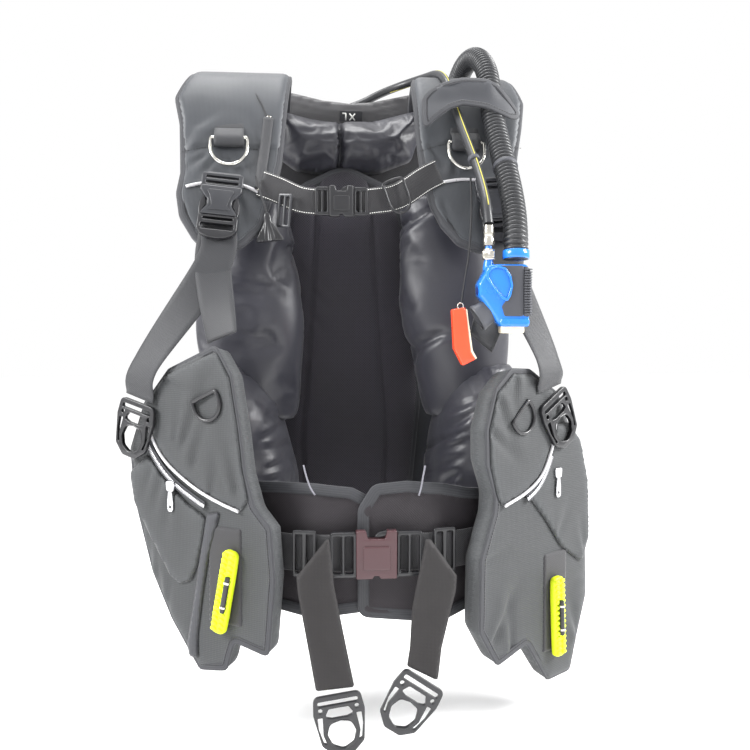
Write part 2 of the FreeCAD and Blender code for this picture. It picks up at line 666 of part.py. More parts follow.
grip_edge = [(12.5, -3), (17, -6), (21, -14), (21, -76), (17, -84), (12.5, -85)]
grip = plate_body("inflator_grip", [rounded_loop(grip_edge, 3)], "grip_wall")
node("inflator_grip", grip, at(HOSE_FOOT[0], HOSE_FOOT[1] + size("grip_wall") / 2, HOSE_FOOT[2]))

cover_edge = [(-42, -34), (-36, -18), (-20, -15), (-7, -24), (-2, -40), (-2, -60), (-10, -64)]
cover = plate_body("inflator_cover", [rounded_loop(cover_edge, 9)], "cover_wall")
soften(cover, 1.4, on_face("y", -size("cover_wall")))
cover_y = HOSE_FOOT[1] - size("inflator_wall") / 2 - GAP
node("inflator_cover", cover, at(HOSE_FOOT[0], cover_y, HOSE_FOOT[2]))

button_edge = rounded_loop(box_corners(-17, 9, -25.5, -4.5), 3)
button = plate_body("deflate_button", [button_edge], "button_tall", "XY_Plane")
node("deflate_button", button, at(HOSE_FOOT[0], HOSE_FOOT[1] + 15, HOSE_FOOT[2] - 97))

side_button = new_body("inflate_button")
side_sketch = sketch_on(side_button, "YZ_Plane")
side_sketch.addGeometry(circle(0, 0, 9), False)
side_pad = side_button.newObject("PartDesign::Pad", "Pad")
side_pad.Profile = side_sketch
side_pad.Length = 11
soften(side_button, 2, on_face("x", 0))
node("inflate_button", side_button, at(HOSE_FOOT[0] - 58, HOSE_FOOT[1], HOSE_FOOT[2] - 37))

mouth = new_body("mouthpiece")
mouth_sketch = sketch_on(mouth, "XY_Plane")
mouth_sketch.addGeometry(Part.Ellipse(V(19, 0, 0), V(0, 14, 0), V(0, 0, 0)), False)
mouth_pad = mouth.newObject("PartDesign::Pad", "Pad")
mouth_pad.Profile = mouth_sketch
mouth_pad.Length = 24
mouth_hollow = sketch_on(mouth, "XY_Plane", 24)
mouth_hollow.addGeometry(Part.Ellipse(V(15.5, 0, 0), V(0, 10.5, 0), V(0, 0, 0)), False)
pocket(mouth, mouth_hollow, 20)
MOUTH_AXIS = V(-0.84, 0, -0.54)
mouth_spin = FreeCAD.Rotation(V(-0.54, 0, 0.84), V(0, 1, 0), MOUTH_AXIS, "ZXY")
mouth_spot = V(*HOSE_FOOT) + V(-36, 0, -64.5) + MOUTH_AXIS * 1.5
node("mouthpiece", mouth, FreeCAD.Placement(mouth_spot, mouth_spin))

FITTING = (HOSE_FOOT[0] - 32, HOSE_FOOT[1], HOSE_FOOT[2])
sleeve = plate_body("qd_fitting", [circle(0, 0, 8.5), circle(0, 0, 5.2)], "handle_wall", "XY_Plane")
node("qd_fitting", sleeve, at(FITTING[0], FITTING[1], FITTING[2] - 5))

# ---------------------------------------------------------------- hoses and cords
HOSE_ROUTE = [(166, -80, 437), (167, -78, 474), (172, -94, 520), (178, -138, 549), (187, -190, 551),
              (194, -236, 521), (193, -270, 476), (193, -291, 428), (199, -324, 378), (203, -360, 331),
              (203, -391, 288), (201, -413, 256), (200, -424, 232), (200, -425, 212)]
LP_ROUTE = [(-12, -104, 482), (14, -98, 492), (46, -98, 510), (86, -112, 524), (116, -150, 530),
            (134, -196, 527), (142, -242, 502), (146, -274, 458), (152, -302, 418), (160, -332, 378),
            (165, -362, 342), (167, -392, 312), (168, -414, 288), (168, -424, 264)]
WHISTLE_ROUTE = [(152, -326, 338), (150, -344, 304), (144, -370, 264), (136, -396, 222), (126, -416, 184),
                 (119, -428, 152)]
DUMP_ROUTE = [(-157, -325, 336), (-153, -330, 316), (-147, -335, 299), (-142, -337, 284)]
cord_tube("corrugated_hose", HOSE_ROUTE, "hose_diameter")
cord_tube("lp_hose", LP_ROUTE, "lp_diameter")
cord_tube("whistle_cord", WHISTLE_ROUTE, "lanyard_diameter")
cord_tube("dump_cord", DUMP_ROUTE, "lanyard_diameter")

elbow = new_body("hose_elbow")
elbow_sketch = sketch_on(elbow, "XY_Plane")
elbow_sketch.addGeometry(circle(0, 0, 21), False)
elbow_pad = elbow.newObject("PartDesign::Pad", "Pad")
elbow_pad.Profile = elbow_sketch
elbow_pad.Length = 26
flange = sketch_on(elbow, "XZ_Plane", 0)
flange.addGeometry(circle(0, 4, 24), False)
flange_pad = elbow.newObject("PartDesign::Pad", "Flange")
flange_pad.Profile = flange
flange_pad.Length = 23
node("hose_elbow", elbow, at(166, -80, 409))

FERRULES = {
    "lower": (V(168, -424.5, 237), V(0, 0, 1)),
    "upper": (V(-12.6, -104.1, 481.8), V(-26, -6, -10)),
}
ferrules = []
for name, (spot, direction) in FERRULES.items():
    ferrule = doc.addObject("Part::Cylinder", "ferrule_" + name)
    ferrule.Radius = 8
    ferrule.Height = 24
    ferrule.Placement = FreeCAD.Placement(spot, FreeCAD.Rotation(V(0, 0, 1), direction))
    ferrules.append(ferrule)
group("hose_ferrules", ferrules)

whistle_edge = [(-9, 0), (9, 3), (17, -56), (24, -67), (6, -76), (-6, -53)]
whistle = plate_body("whistle", [rounded_loop(whistle_edge, 1.5)], "whistle_wall")
node("whistle", whistle, at(114.5, -428 + size("whistle_wall") / 2, 146))

knob_profile = [(0, 0), (5, 0), (6.5, -6), (5.5, -12), (11, -36), (9, -40), (0, -40)]
knob = new_body("dump_knob")
knob_sketch = sketch_on(knob, "XZ_Plane")
knob_points = [V(x, z, 0) for x, z in knob_profile]
for i, point in enumerate(knob_points):
    knob_sketch.addGeometry(Part.LineSegment(point, knob_points[(i + 1) % len(knob_points)]), False)
turned = knob.newObject("PartDesign::Revolution", "Turned")
turned.Profile = knob_sketch
turned.ReferenceAxis = (knob_sketch, ["V_Axis"])
turned.Angle = 360
node("dump_knob", knob, at(-142, -337, 283.5))

valve = plate_body("rear_dump_valve", [circle(0, 0, 26)], "band_wall")
valve_dome = sketch_on(valve, "XZ_Plane")
valve_dome.addGeometry(circle(0, 0, 20), False)
pad(valve, valve_dome, "plate_wall", reverse=True)
node("rear_dump_valve", valve, at(-118, -105, -175))

# ---------------------------------------------------------------- checks and export
doc.recompute()
failed = [item.Label for item in doc.Objects if "Invalid" in item.State or "Error" in item.State]
if failed:
    raise RuntimeError("failed objects: " + ", ".join(failed))
for label, thing in nodes.items():
    if thing.Shape.isNull() or not thing.Shape.isValid():
        raise RuntimeError("bad shape: " + label)
    thing.Shape.exportStep("parts/" + label + ".step")
print(len(nodes), "nodes written")
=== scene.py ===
# %% [markdown]
# # A dive vest, rebuilt piece by piece
#
# This lesson dresses a hidden engineering model of a buoyancy vest with the parts an eye sees: puffed
# air cells, coarse pocket cloth, woven straps, moulded buckles, hoses and an inflator. Every piece is
# made in metres, in the same space as the engineering model: +Z is up, -Y is the side that the wearer
# faces and +X is the wearer's left. Each cell makes one thing and prints what it made.

# %% Load the engineering model
import math
import bmesh
import bpy
import numpy as np
from mathutils import Matrix, Vector, geometry, noise


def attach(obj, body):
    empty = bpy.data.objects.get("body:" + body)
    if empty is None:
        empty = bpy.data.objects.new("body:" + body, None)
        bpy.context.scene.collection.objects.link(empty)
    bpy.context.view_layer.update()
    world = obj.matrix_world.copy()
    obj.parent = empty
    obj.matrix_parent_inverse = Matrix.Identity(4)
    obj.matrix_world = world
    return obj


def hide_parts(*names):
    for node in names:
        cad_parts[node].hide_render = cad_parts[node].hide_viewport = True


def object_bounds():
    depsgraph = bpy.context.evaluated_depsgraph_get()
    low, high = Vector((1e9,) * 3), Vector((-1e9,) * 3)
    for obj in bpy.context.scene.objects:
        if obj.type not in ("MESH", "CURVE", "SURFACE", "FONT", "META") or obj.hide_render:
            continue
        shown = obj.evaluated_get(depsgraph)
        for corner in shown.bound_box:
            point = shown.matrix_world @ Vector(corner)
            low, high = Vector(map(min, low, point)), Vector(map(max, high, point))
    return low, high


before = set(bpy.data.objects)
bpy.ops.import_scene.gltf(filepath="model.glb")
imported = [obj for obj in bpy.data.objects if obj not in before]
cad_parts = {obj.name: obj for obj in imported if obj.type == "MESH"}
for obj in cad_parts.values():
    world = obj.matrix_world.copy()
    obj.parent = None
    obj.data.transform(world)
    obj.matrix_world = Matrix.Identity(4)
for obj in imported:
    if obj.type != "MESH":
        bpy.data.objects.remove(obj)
cad_box = [list(corner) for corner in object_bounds()]
MM = 0.001
print("hidden model", len(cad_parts), "nodes, box", [[round(v, 3) for v in c] for c in cad_box])

# %% [markdown]
# ## The viewpoint
#
# The camera comes first, because everything after it is judged through it. A vest is shown from
# chest height, a little from the wearer's right, with a lens close enough that the lower pockets look
# larger than the shoulders. A plain camera object aimed with a track quaternion does that; the aim
# point and the distance are the two numbers that place it.

# %% Camera
AIM = Vector((0.008, -0.370, 0.055))
AZIMUTH, ELEVATION, DISTANCE = math.radians(-6), math.radians(3), 1.35
backwards = Vector((math.sin(AZIMUTH) * math.cos(ELEVATION), -math.cos(AZIMUTH) * math.cos(ELEVATION),
                    math.sin(ELEVATION)))
camera_data = bpy.data.cameras.new("camera")
camera_data.lens = 46.13
camera = bpy.data.objects.new("camera", camera_data)
camera.location = AIM + backwards * DISTANCE
camera.rotation_mode = "QUATERNION"
camera.rotation_quaternion = (-backwards).to_track_quat("-Z", "Y")
bpy.context.scene.collection.objects.link(camera)
bpy.context.scene.camera = camera
print("camera at", [round(v, 3) for v in camera.location])

# %% [markdown]
# ## Two helpers for colour and nodes
#
# Paint charts and screens give colours as sRGB hex values, while the renderer adds light up in linear
# numbers, so one function turns the first into the second. A second function adds a node, sets its
# options and fills its inputs: a plain value is typed into the socket, and an output socket is linked.

# %% Colour and node helpers
def linear(code):
    """A linear RGBA colour from an sRGB hex code."""
    channels = [int(code[i:i + 2], 16) / 255 for i in (1, 3, 5)]
    return tuple(c / 12.92 if c <= 0.04045 else ((c + 0.055) / 1.055) ** 2.4 for c in channels) + (1.0,)


def add_node(tree, kind, inputs=None, **settings):
    """One node with its settings; inputs maps a socket's name or number to a value or an output."""
    made = tree.nodes.new(kind)
    for name, value in settings.items():
        setattr(made, name, value)
    for key, value in (inputs or {}).items():
        if isinstance(value, bpy.types.NodeSocket):
            tree.links.new(value, made.inputs[key])
        else:
            made.inputs[key].default_value = value
    return made


# %% [markdown]
# ## Studio
#
# A white floor and a white surrounding light stand in for a sweep of paper. Two strong soft lamps stand
# out at the sides, so the cloth that faces outwards shines and the hollow of the vest falls dark.

# %% Floor, surround and lamps
floor_z = cad_box[0][2] - 0.001
floor_mesh = bpy.data.meshes.new("studio_floor")
floor_mesh.from_pydata([(-9, -9, floor_z), (9, -9, floor_z), (9, 9, floor_z), (-9, 9, floor_z)], [],
                       [(0, 1, 2, 3)])
studio_floor = bpy.data.objects.new("studio_floor", floor_mesh)
bpy.context.scene.collection.objects.link(studio_floor)
paper = bpy.data.materials.new("matt white paper")
paper.use_nodes = True
paper.node_tree.nodes["Principled BSDF"].inputs["Base Color"].default_value = linear("#FFFFFF")
paper.node_tree.nodes["Principled BSDF"].inputs["Roughness"].default_value = 0.95
floor_mesh.materials.append(paper)

surround = bpy.data.worlds.new("white surround")
surround.use_nodes = True
surround.node_tree.nodes["Background"].inputs["Color"].default_value = linear("#FFFFFF")
surround.node_tree.nodes["Background"].inputs["Strength"].default_value = 1.0
bpy.context.scene.world = surround
bpy.context.scene.view_settings.view_transform = "Standard"


def lamp(name, place, size, watts):
    """A square soft lamp aimed at the middle of the vest."""
    data = bpy.data.lights.new(name, "AREA")
    data.size = size
    data.energy = watts
    made = bpy.data.objects.new(name, data)
    made.location = place
    made.rotation_euler = (Vector((0.0, -0.3, 0.1)) - Vector(place)).to_track_quat("-Z", "Y").to_euler()
    bpy.context.scene.collection.objects.link(made)
    return made


lamp("key softbox", (2.1, -0.8, 1.2), 1.0, 110)
lamp("fill softbox", (-2.1, -1.0, 1.2), 1.0, 85)
lamp("top softbox", (-0.2, -0.1, 2.5), 1.2, 45)
print("floor at", round(floor_z, 3), "with", len(bpy.data.lights), "lamps")

# %% [markdown]
# ## Finishes
#
# Nearly everything on the vest is black or grey nylon, so what tells the pieces apart is the weave and
# the shine: coarse pocket cloth, fine shoulder cloth, coated satin bladders, open mesh, grosgrain tape
# and ribbed webbing. One recipe serves them all. Threads are bands crossed at right angles on the
# piece's own cloth map, whose unit is a metre, so each pitch below is a real size. A true thread is
# about 0.6 mm, which no view of a whole vest can resolve, so each pitch is drawn two to four times
# coarser, enough to be seen. The cloth's colour follows the threads' height: painted shade in the
# valleys between threads and painted light on their tops. Slow noise adds the uneven fading of used
# cloth, and a stored "Edge" attribute lightens seams and borders where cloth rubs.

# %% Woven cloth
def woven(name, colour, pitch_mm, relief_mm, roughness, sheen=0.15, pattern="plain", fade=0.22, wear=0.3):
    """Nylon cloth: crossed threads on the Cloth map with painted shade in their valleys and painted light on
    their tops, slow fading, fibre grain and rubbed edges.
    """
    made = bpy.data.materials.new(name)
    made.use_nodes = True
    tree = made.node_tree
    shader = tree.nodes["Principled BSDF"]
    cloth_map = add_node(tree, "ShaderNodeUVMap", uv_map="Cloth").outputs[0]
    body_map = add_node(tree, "ShaderNodeTexCoord").outputs["Object"]
    band = 2 * math.pi / (20 * pitch_mm * MM)
    if pattern == "twill":
        first = add_node(tree, "ShaderNodeTexWave", {"Vector": cloth_map, "Scale": band * 1.4},
                         bands_direction="DIAGONAL")
        second = add_node(tree, "ShaderNodeTexWave", {"Vector": cloth_map, "Scale": band * 2.2},
                          bands_direction="Y")
    elif pattern == "ribbed":
        first = add_node(tree, "ShaderNodeTexWave", {"Vector": cloth_map, "Scale": band},
                         bands_direction="Y")
        second = add_node(tree, "ShaderNodeTexWave", {"Vector": cloth_map, "Scale": band * 0.5},
                          bands_direction="X")
    else:
        first = add_node(tree, "ShaderNodeTexWave", {"Vector": cloth_map, "Scale": band},
                         bands_direction="X")
        second = add_node(tree, "ShaderNodeTexWave", {"Vector": cloth_map, "Scale": band},
                          bands_direction="Y")
    fibre = add_node(tree, "ShaderNodeTexNoise", {"Vector": body_map, "Scale": 900.0, "Detail": 2.0})
    crossing = add_node(tree, "ShaderNodeMath", {0: first.outputs["Fac"], 1: second.outputs["Fac"]},
                        operation="MULTIPLY")
    threads = add_node(tree, "ShaderNodeMath", {0: fibre.outputs["Fac"], 1: 0.5, 2: crossing.outputs[0]},
                       operation="MULTIPLY_ADD")
    clouds = add_node(tree, "ShaderNodeTexNoise",
                      {"Vector": body_map, "Scale": 9.0, "Detail": 4.0, "Roughness": 0.6})
    light = linear(colour)
    dark = tuple(c * (1 - fade * 1.6) for c in light[:3]) + (1.0,)
    pale = tuple(min(1.0, c * (1 + wear) + 0.02 * wear) for c in light[:3]) + (1.0,)
    faded = add_node(tree, "ShaderNodeMix", {0: clouds.outputs["Fac"], 6: dark, 7: light}, data_type="RGBA")
    # the colour is scaled by the thread height, 0.55 in the valleys to 1.25 on the tops: painted shade and
    # painted light on the weave
    depth = add_node(tree, "ShaderNodeMapRange", {0: threads.outputs[0], 1: 0.0, 2: 1.1, 3: 0.55, 4: 1.25})
    colour_with_painted_weave_shade = add_node(tree, "ShaderNodeVectorMath", {0: faded.outputs[2], 1: depth.outputs[0]},
                        operation="MULTIPLY")
    edge = add_node(tree, "ShaderNodeAttribute", attribute_name="Edge")
    rubbed = add_node(tree, "ShaderNodeMath", {0: edge.outputs["Fac"], 1: clouds.outputs["Fac"]},
                      operation="MULTIPLY")
    final = add_node(tree, "ShaderNodeMix", {0: rubbed.outputs[0], 6: colour_with_painted_weave_shade.outputs[0], 7: pale},
                     data_type="RGBA")
    gloss = add_node(tree, "ShaderNodeMapRange",
                     {0: clouds.outputs["Fac"], 1: 0.3, 2: 0.7, 3: roughness - 0.06, 4: roughness + 0.06})
    relief = add_node(tree, "ShaderNodeBump",
                      {"Height": threads.outputs[0], "Strength": 0.9, "Distance": relief_mm * MM})
    tree.links.new(final.outputs[2], shader.inputs["Base Color"])
    tree.links.new(gloss.outputs[0], shader.inputs["Roughness"])
    tree.links.new(relief.outputs[0], shader.inputs["Normal"])
    shader.inputs["Sheen Weight"].default_value = sheen
    shader.inputs["Sheen Roughness"].default_value = 0.4
    shader.inputs["IOR"].default_value = 1.53
    return made


cloths = {
    # 1000-denier textured nylon with a urethane back: the coarsest cloth, dusty and dull
    "pack": woven("coarse pack nylon", "#393B3D", 2.6, 0.35, 0.68, 0.1, fade=0.2, wear=0.5),
    # 420-denier nylon over foam on the shoulders: finer, greyer, a soft shine
    "panel": woven("fine shoulder nylon", "#3C3F44", 1.8, 0.12, 0.5, 0.12),
    # 210-denier nylon welded to a urethane bladder: satin, almost no thread
    "cell": woven("coated satin nylon", "#33333B", 1.3, 0.05, 0.38, 0.1, fade=0.12),
    # darker satin on the hose flap and the back of the vest
    "flap": woven("dark satin nylon", "#303238", 1.5, 0.1, 0.5, 0.1),
    # elastic twill of the waist band
    "belt": woven("elastic twill", "#252025", 2.4, 0.25, 0.8, 0.05, pattern="twill", fade=0.05),
    # binding tape sewn round every raw edge
    "tape": woven("grosgrain binding tape", "#36373C", 1.6, 0.2, 0.66, 0.12, pattern="ribbed"),
    # polyester webbing: thick yarns in ribs across the strap
    "webbing": woven("ribbed polyester webbing", "#2D2E32", 2.0, 0.25, 0.55, 0.1, pattern="twill",
                     fade=0.15),
    "dark webbing": woven("black polyester webbing", "#242327", 2.0, 0.25, 0.6, 0.2, pattern="twill",
                          fade=0.15),
    # the waist tails, sun-browned
    "tail webbing": woven("faded polyester webbing", "#1C191A", 1.8, 0.2, 0.8, 0.0, fade=0.0),
}
print("cloths", len(cloths))

# %% [markdown]
# The pad against the wearer's back is knitted spacer mesh: a lattice of holes. Voronoi cells with no
# randomness fall on a square lattice, so the distance to each cell's middle draws the holes. The holes
# are given a near-black colour, a painted shade in the holes.

# %% Spacer mesh
def spacer_mesh(name, colour, hole, pitch_mm):
    """Knitted mesh whose holes are deeper than its threads and coloured darker, a painted shade in the holes.
    """
    made = bpy.data.materials.new(name)
    made.use_nodes = True
    tree = made.node_tree
    shader = tree.nodes["Principled BSDF"]
    cloth_map = add_node(tree, "ShaderNodeUVMap", uv_map="Cloth").outputs[0]
    turned = add_node(tree, "ShaderNodeMapping",
                      {"Vector": cloth_map, "Rotation": (0.0, 0.0, math.radians(45))})
    holes = add_node(tree, "ShaderNodeTexVoronoi",
                     {"Vector": turned.outputs[0], "Scale": 1 / (pitch_mm * MM), "Randomness": 0.0},
                     voronoi_dimensions="2D")
    body_map = add_node(tree, "ShaderNodeTexCoord").outputs["Object"]
    clouds = add_node(tree, "ShaderNodeTexNoise", {"Vector": body_map, "Scale": 7.0, "Detail": 4.0})
    fibre = add_node(tree, "ShaderNodeTexNoise", {"Vector": body_map, "Scale": 700.0, "Detail": 2.0})
    open_part = add_node(tree, "ShaderNodeMapRange",
                         {0: holes.outputs["Distance"], 1: 0.22, 2: 0.42, 3: 0.0, 4: 1.0})
    # the hole colour darkens every hole: painted shade
    knit_with_painted_hole_shade = add_node(tree, "ShaderNodeMix", {0: open_part.outputs[0], 6: linear(hole), 7: linear(colour)},
                    data_type="RGBA")
    shade = add_node(tree, "ShaderNodeMapRange", {0: clouds.outputs["Fac"], 1: 0.3, 2: 0.7, 3: 0.75, 4: 1.2})
    tinted = add_node(tree, "ShaderNodeVectorMath", {0: knit_with_painted_hole_shade.outputs[2], 1: shade.outputs[0]},
                      operation="MULTIPLY")
    height = add_node(tree, "ShaderNodeMath", {0: fibre.outputs["Fac"], 1: 0.4, 2: open_part.outputs[0]},
                      operation="MULTIPLY_ADD")
    relief = add_node(tree, "ShaderNodeBump",
                      {"Height": height.outputs[0], "Strength": 0.9, "Distance": 0.3 * MM})
    gloss = add_node(tree, "ShaderNodeMapRange", {0: clouds.outputs["Fac"], 1: 0.3, 2: 0.7, 3: 0.7, 4: 0.85})
    tree.links.new(tinted.outputs[0], shader.inputs["Base Color"])
    tree.links.new(relief.outputs[0], shader.inputs["Normal"])
    tree.links.new(gloss.outputs[0], shader.inputs["Roughness"])
    shader.inputs["Sheen Weight"].default_value = 0.2
    shader.inputs["Sheen Roughness"].default_value = 0.5
    return made


# the second colour of each mesh is the painted shade in its holes
cloths["mesh"] = spacer_mesh("knitted spacer mesh", "#322F38", "#141318", 2.8)
cloths["collar mesh"] = spacer_mesh("fine knitted lining", "#5F6168", "#3F4047", 1.8)

# %% [markdown]
# ## Moulded and metal finishes
#
# Buckles are injection moulded acetal, which leaves a fine spark texture and a waxy shine; hoses are
# extruded rubber; rings are polished stainless steel. All share a grain whose size is the mould's or
# the polish's, a little colour drift, and smudges that change the gloss.

# %% Hard finishes
def solid(name, colour, roughness, grain_mm=0.6, relief_mm=0.03, metal=0.0, drift=0.12, coat=0.0,
          smudge=0.12, ior=None):
    """A hard finish with mould grain, colour drift and smudged gloss."""
    made = bpy.data.materials.new(name)
    made.use_nodes = True
    tree = made.node_tree
    shader = tree.nodes["Principled BSDF"]
    body_map = add_node(tree, "ShaderNodeTexCoord").outputs["Object"]
    grain = add_node(tree, "ShaderNodeTexNoise",
                     {"Vector": body_map, "Scale": 1 / (grain_mm * MM), "Detail": 3.0})
    clouds = add_node(tree, "ShaderNodeTexNoise",
                      {"Vector": body_map, "Scale": 28.0, "Detail": 5.0, "Roughness": 0.65})
    base = linear(colour)
    low = tuple(c * (1 - drift) for c in base[:3]) + (1.0,)
    high = tuple(min(1.0, c * (1 + drift)) for c in base[:3]) + (1.0,)
    tint = add_node(tree, "ShaderNodeMix", {0: clouds.outputs["Fac"], 6: low, 7: high}, data_type="RGBA")
    gloss = add_node(tree, "ShaderNodeMapRange",
                     {0: clouds.outputs["Fac"], 1: 0.3, 2: 0.7, 3: max(0.03, roughness - smudge / 2),
                      4: roughness + smudge})
    relief = add_node(tree, "ShaderNodeBump",
                      {"Height": grain.outputs["Fac"], "Strength": 0.6, "Distance": relief_mm * MM})
    tree.links.new(tint.outputs[2], shader.inputs["Base Color"])
    tree.links.new(gloss.outputs[0], shader.inputs["Roughness"])
    tree.links.new(relief.outputs[0], shader.inputs["Normal"])
    shader.inputs["Metallic"].default_value = metal
    shader.inputs["Coat Weight"].default_value = coat
    if ior:
        shader.inputs["IOR"].default_value = ior
    return made


hard = {
    # glass-filled acetal: near black, waxy, bright on its rounded edges
    "black": solid("black acetal", "#1D1D20", 0.33, ior=1.48, coat=0.15),
    "grey black": solid("worn black acetal", "#2B2C30", 0.36, ior=1.48, coat=0.15),
    # the centre block of the waist buckle has reddened in the sun
    "maroon": solid("sun-reddened acetal", "#43292D", 0.36, ior=1.48, coat=0.1),
    # polypropylene, glossy and clean
    "blue": solid("blue glossy polypropylene", "#1E74D2", 0.2, relief_mm=0.01, ior=1.49, coat=0.5),
    "navy": solid("dark blue polypropylene", "#1C2C6E", 0.35, ior=1.49),
    "cream": solid("cream polypropylene", "#DDD2BC", 0.35, ior=1.49),
    "orange": solid("fluorescent orange polypropylene", "#FF4A26", 0.3, ior=1.49, coat=0.3),
    "yellow": solid("fluorescent yellow rubber", "#DDF01A", 0.5, relief_mm=0.05, ior=1.5, drift=0.06),
    # a darker copy of the yellow rubber for the grooves: painted shade
    "yellow painted groove shade": solid("yellow rubber with painted groove shade", "#A9AE1E", 0.6, relief_mm=0.05, ior=1.5,
                          drift=0.1),
    # thermoplastic rubber overmould
    "soft grey": solid("grey soft-touch rubber", "#3E3F45", 0.55, ior=1.5),
    "rubber": solid("black EPDM rubber", "#26272A", 0.38, relief_mm=0.05, ior=1.5, coat=0.1),
    "lip": solid("grey silicone rubber", "#4A4B50", 0.45, ior=1.43),
    # polished 316 stainless steel
    "steel": solid("polished stainless steel", "#D8D6D0", 0.12, relief_mm=0.01, metal=1.0, drift=0.05,
                   smudge=0.08),
    "nickel": solid("nickel-plated brass", "#CFCBC2", 0.2, relief_mm=0.01, metal=1.0, drift=0.08,
                    smudge=0.1),
    "zip metal": solid("die-cast zinc", "#C9C9CC", 0.25, relief_mm=0.02, metal=1.0, drift=0.1),
    # glass-bead reflective film over a cord: silver and slightly grainy
    "reflective": solid("glass-bead reflective film", "#C6C5C8", 0.3, grain_mm=0.5, relief_mm=0.06,
                        metal=0.35, drift=0.1),
    "white thread": solid("white bonded nylon thread", "#E6E6E2", 0.6, grain_mm=0.3),
    "dark thread": solid("black bonded nylon thread", "#1E1E20", 0.6, grain_mm=0.3),
    "grey cord": solid("grey braided polyester cord", "#77767E", 0.7, grain_mm=0.5, relief_mm=0.1),
    "black cord": solid("black braided polyester cord", "#1C1C1F", 0.6, grain_mm=0.5, relief_mm=0.1),
    "stripe": solid("yellow marking stripe", "#B9B04A", 0.45, ior=1.5),
}
print("hard finishes", len(hard))

# %% [markdown]
# ## Shapes the vest is made of
#
# Five small makers cover the whole vest. `piece` turns points and faces into an object that moves with
# one body of the engineering model. `sweep` drags a section along a path, for straps, tapes, piping and
# wire. `shell` fills a sewing outline with cloth and closes it at the back. `plate` extrudes an outline
# with windows and rolls its edges, for moulded parts. `turned` spins a profile.

# %% Making an object
def at(x, y, z, turn=0.0, lean=0.0, roll=0.0):
    """A placement in millimetres and degrees: turned about Z, leaned about X, then rolled about Y."""
    return (Matrix.Translation(Vector((x, y, z)) * MM) @ Matrix.Rotation(math.radians(turn), 4, "Z")
            @ Matrix.Rotation(math.radians(lean), 4, "X") @ Matrix.Rotation(math.radians(roll), 4, "Y"))


def piece(name, body, shape, finish, instead=(), crease=None):
    """An object riding on a body. shape is (points, faces) and may go on with a cloth map and edge values."""
    points, faces, cloth_map, edge = (list(shape) + [None, None])[:4]
    mesh = bpy.data.meshes.new(name)
    mesh.from_pydata([tuple(p) for p in points], [], [tuple(f) for f in faces])
    mesh.validate()
    mesh.materials.append(finish)
    for face in mesh.polygons:
        face.use_smooth = True
    if crease:
        mesh.set_sharp_from_angle(angle=math.radians(crease))
    if cloth_map is not None:
        layer = mesh.uv_layers.new(name="Cloth")
        flat = np.asarray(cloth_map, float)
        corners = np.empty(len(mesh.loops), int)
        mesh.loops.foreach_get("vertex_index", corners)
        layer.data.foreach_set("uv", flat[corners].ravel())
    if edge is not None:
        values = mesh.attributes.new("Edge", "FLOAT", "POINT")
        values.data.foreach_set("value", np.asarray(edge, float))
    made = bpy.data.objects.new(name, mesh)
    bpy.context.scene.collection.objects.link(made)
    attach(made, body)
    if instead:
        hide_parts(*instead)
    return made


def joined(shapes):
    """Several shapes as one, with their cloth maps and edge values kept."""
    points, faces, maps, edges = [], [], [], []
    for shape in shapes:
        some_points, some_faces, some_map, some_edge = (list(shape) + [None, None])[:4]
        start = len(points)
        points.extend(some_points)
        faces.extend([tuple(i + start for i in face) for face in some_faces])
        maps.extend(some_map if some_map is not None else [(0.0, 0.0)] * len(some_points))
        edges.extend(some_edge if some_edge is not None else [0.0] * len(some_points))
    return points, faces, maps, edges


def placed(shape, matrix):
    """The same shape moved by a placement."""
    return ([matrix @ Vector(p) for p in shape[0]],) + tuple(shape[1:])


# %% Smooth paths and outlines
def smooth_path(points, step):
    """Points about a step apart on a smooth curve through all the given ones."""
    knots = np.asarray(points, float)
    if len(knots) == 2:
        count = max(2, int(round(np.linalg.norm(knots[1] - knots[0]) / step)) + 1)
        return knots[0] + np.linspace(0, 1, count)[:, None] * (knots[1] - knots[0])
    padded_knots = np.vstack([2 * knots[0] - knots[1], knots, 2 * knots[-1] - knots[-2]])
    dense = []
    for i in range(1, len(padded_knots) - 2):
        a, b, c, d = padded_knots[i - 1:i + 3]
        for t in np.linspace(0, 1, 24, endpoint=False):
            dense.append(0.5 * (2 * b + (c - a) * t + (2 * a - 5 * b + 4 * c - d) * t * t
                                + (3 * b - a - 3 * c + d) * t ** 3))
    dense.append(knots[-1])
    return even(np.array(dense), step)


def even(line, step, closed=False):
    """The same line cut into equal steps."""
    if closed:
        line = np.vstack([line, line[:1]])
    lengths = np.concatenate([[0], np.cumsum(np.linalg.norm(np.diff(line, axis=0), axis=1))])
    count = max(2, int(round(lengths[-1] / step)) + 1)
    marks = np.linspace(0, lengths[-1], count)
    found = np.stack([np.interp(marks, lengths, line[:, k]) for k in range(line.shape[1])], axis=1)
    return found[:-1] if closed else found


def rounded(corners, radius, step):
    """A closed outline with rounded corners, cut into equal steps."""
    corners = [Vector(c) for c in corners]
    line = []
    for i, corner in enumerate(corners):
        before = corners[i - 1] - corner
        after = corners[(i + 1) % len(corners)] - corner
        half = before.angle(after) / 2
        reach = min(radius / max(math.tan(half), 1e-6), 0.48 * before.length, 0.48 * after.length)
        start, end = corner + before.normalized() * reach, corner + after.normalized() * reach
        for t in np.linspace(0, 1, 7):
            line.append(start.lerp(corner, t).lerp(corner.lerp(end, t), t))
    return even(np.array([tuple(p) for p in line]), step, closed=True)


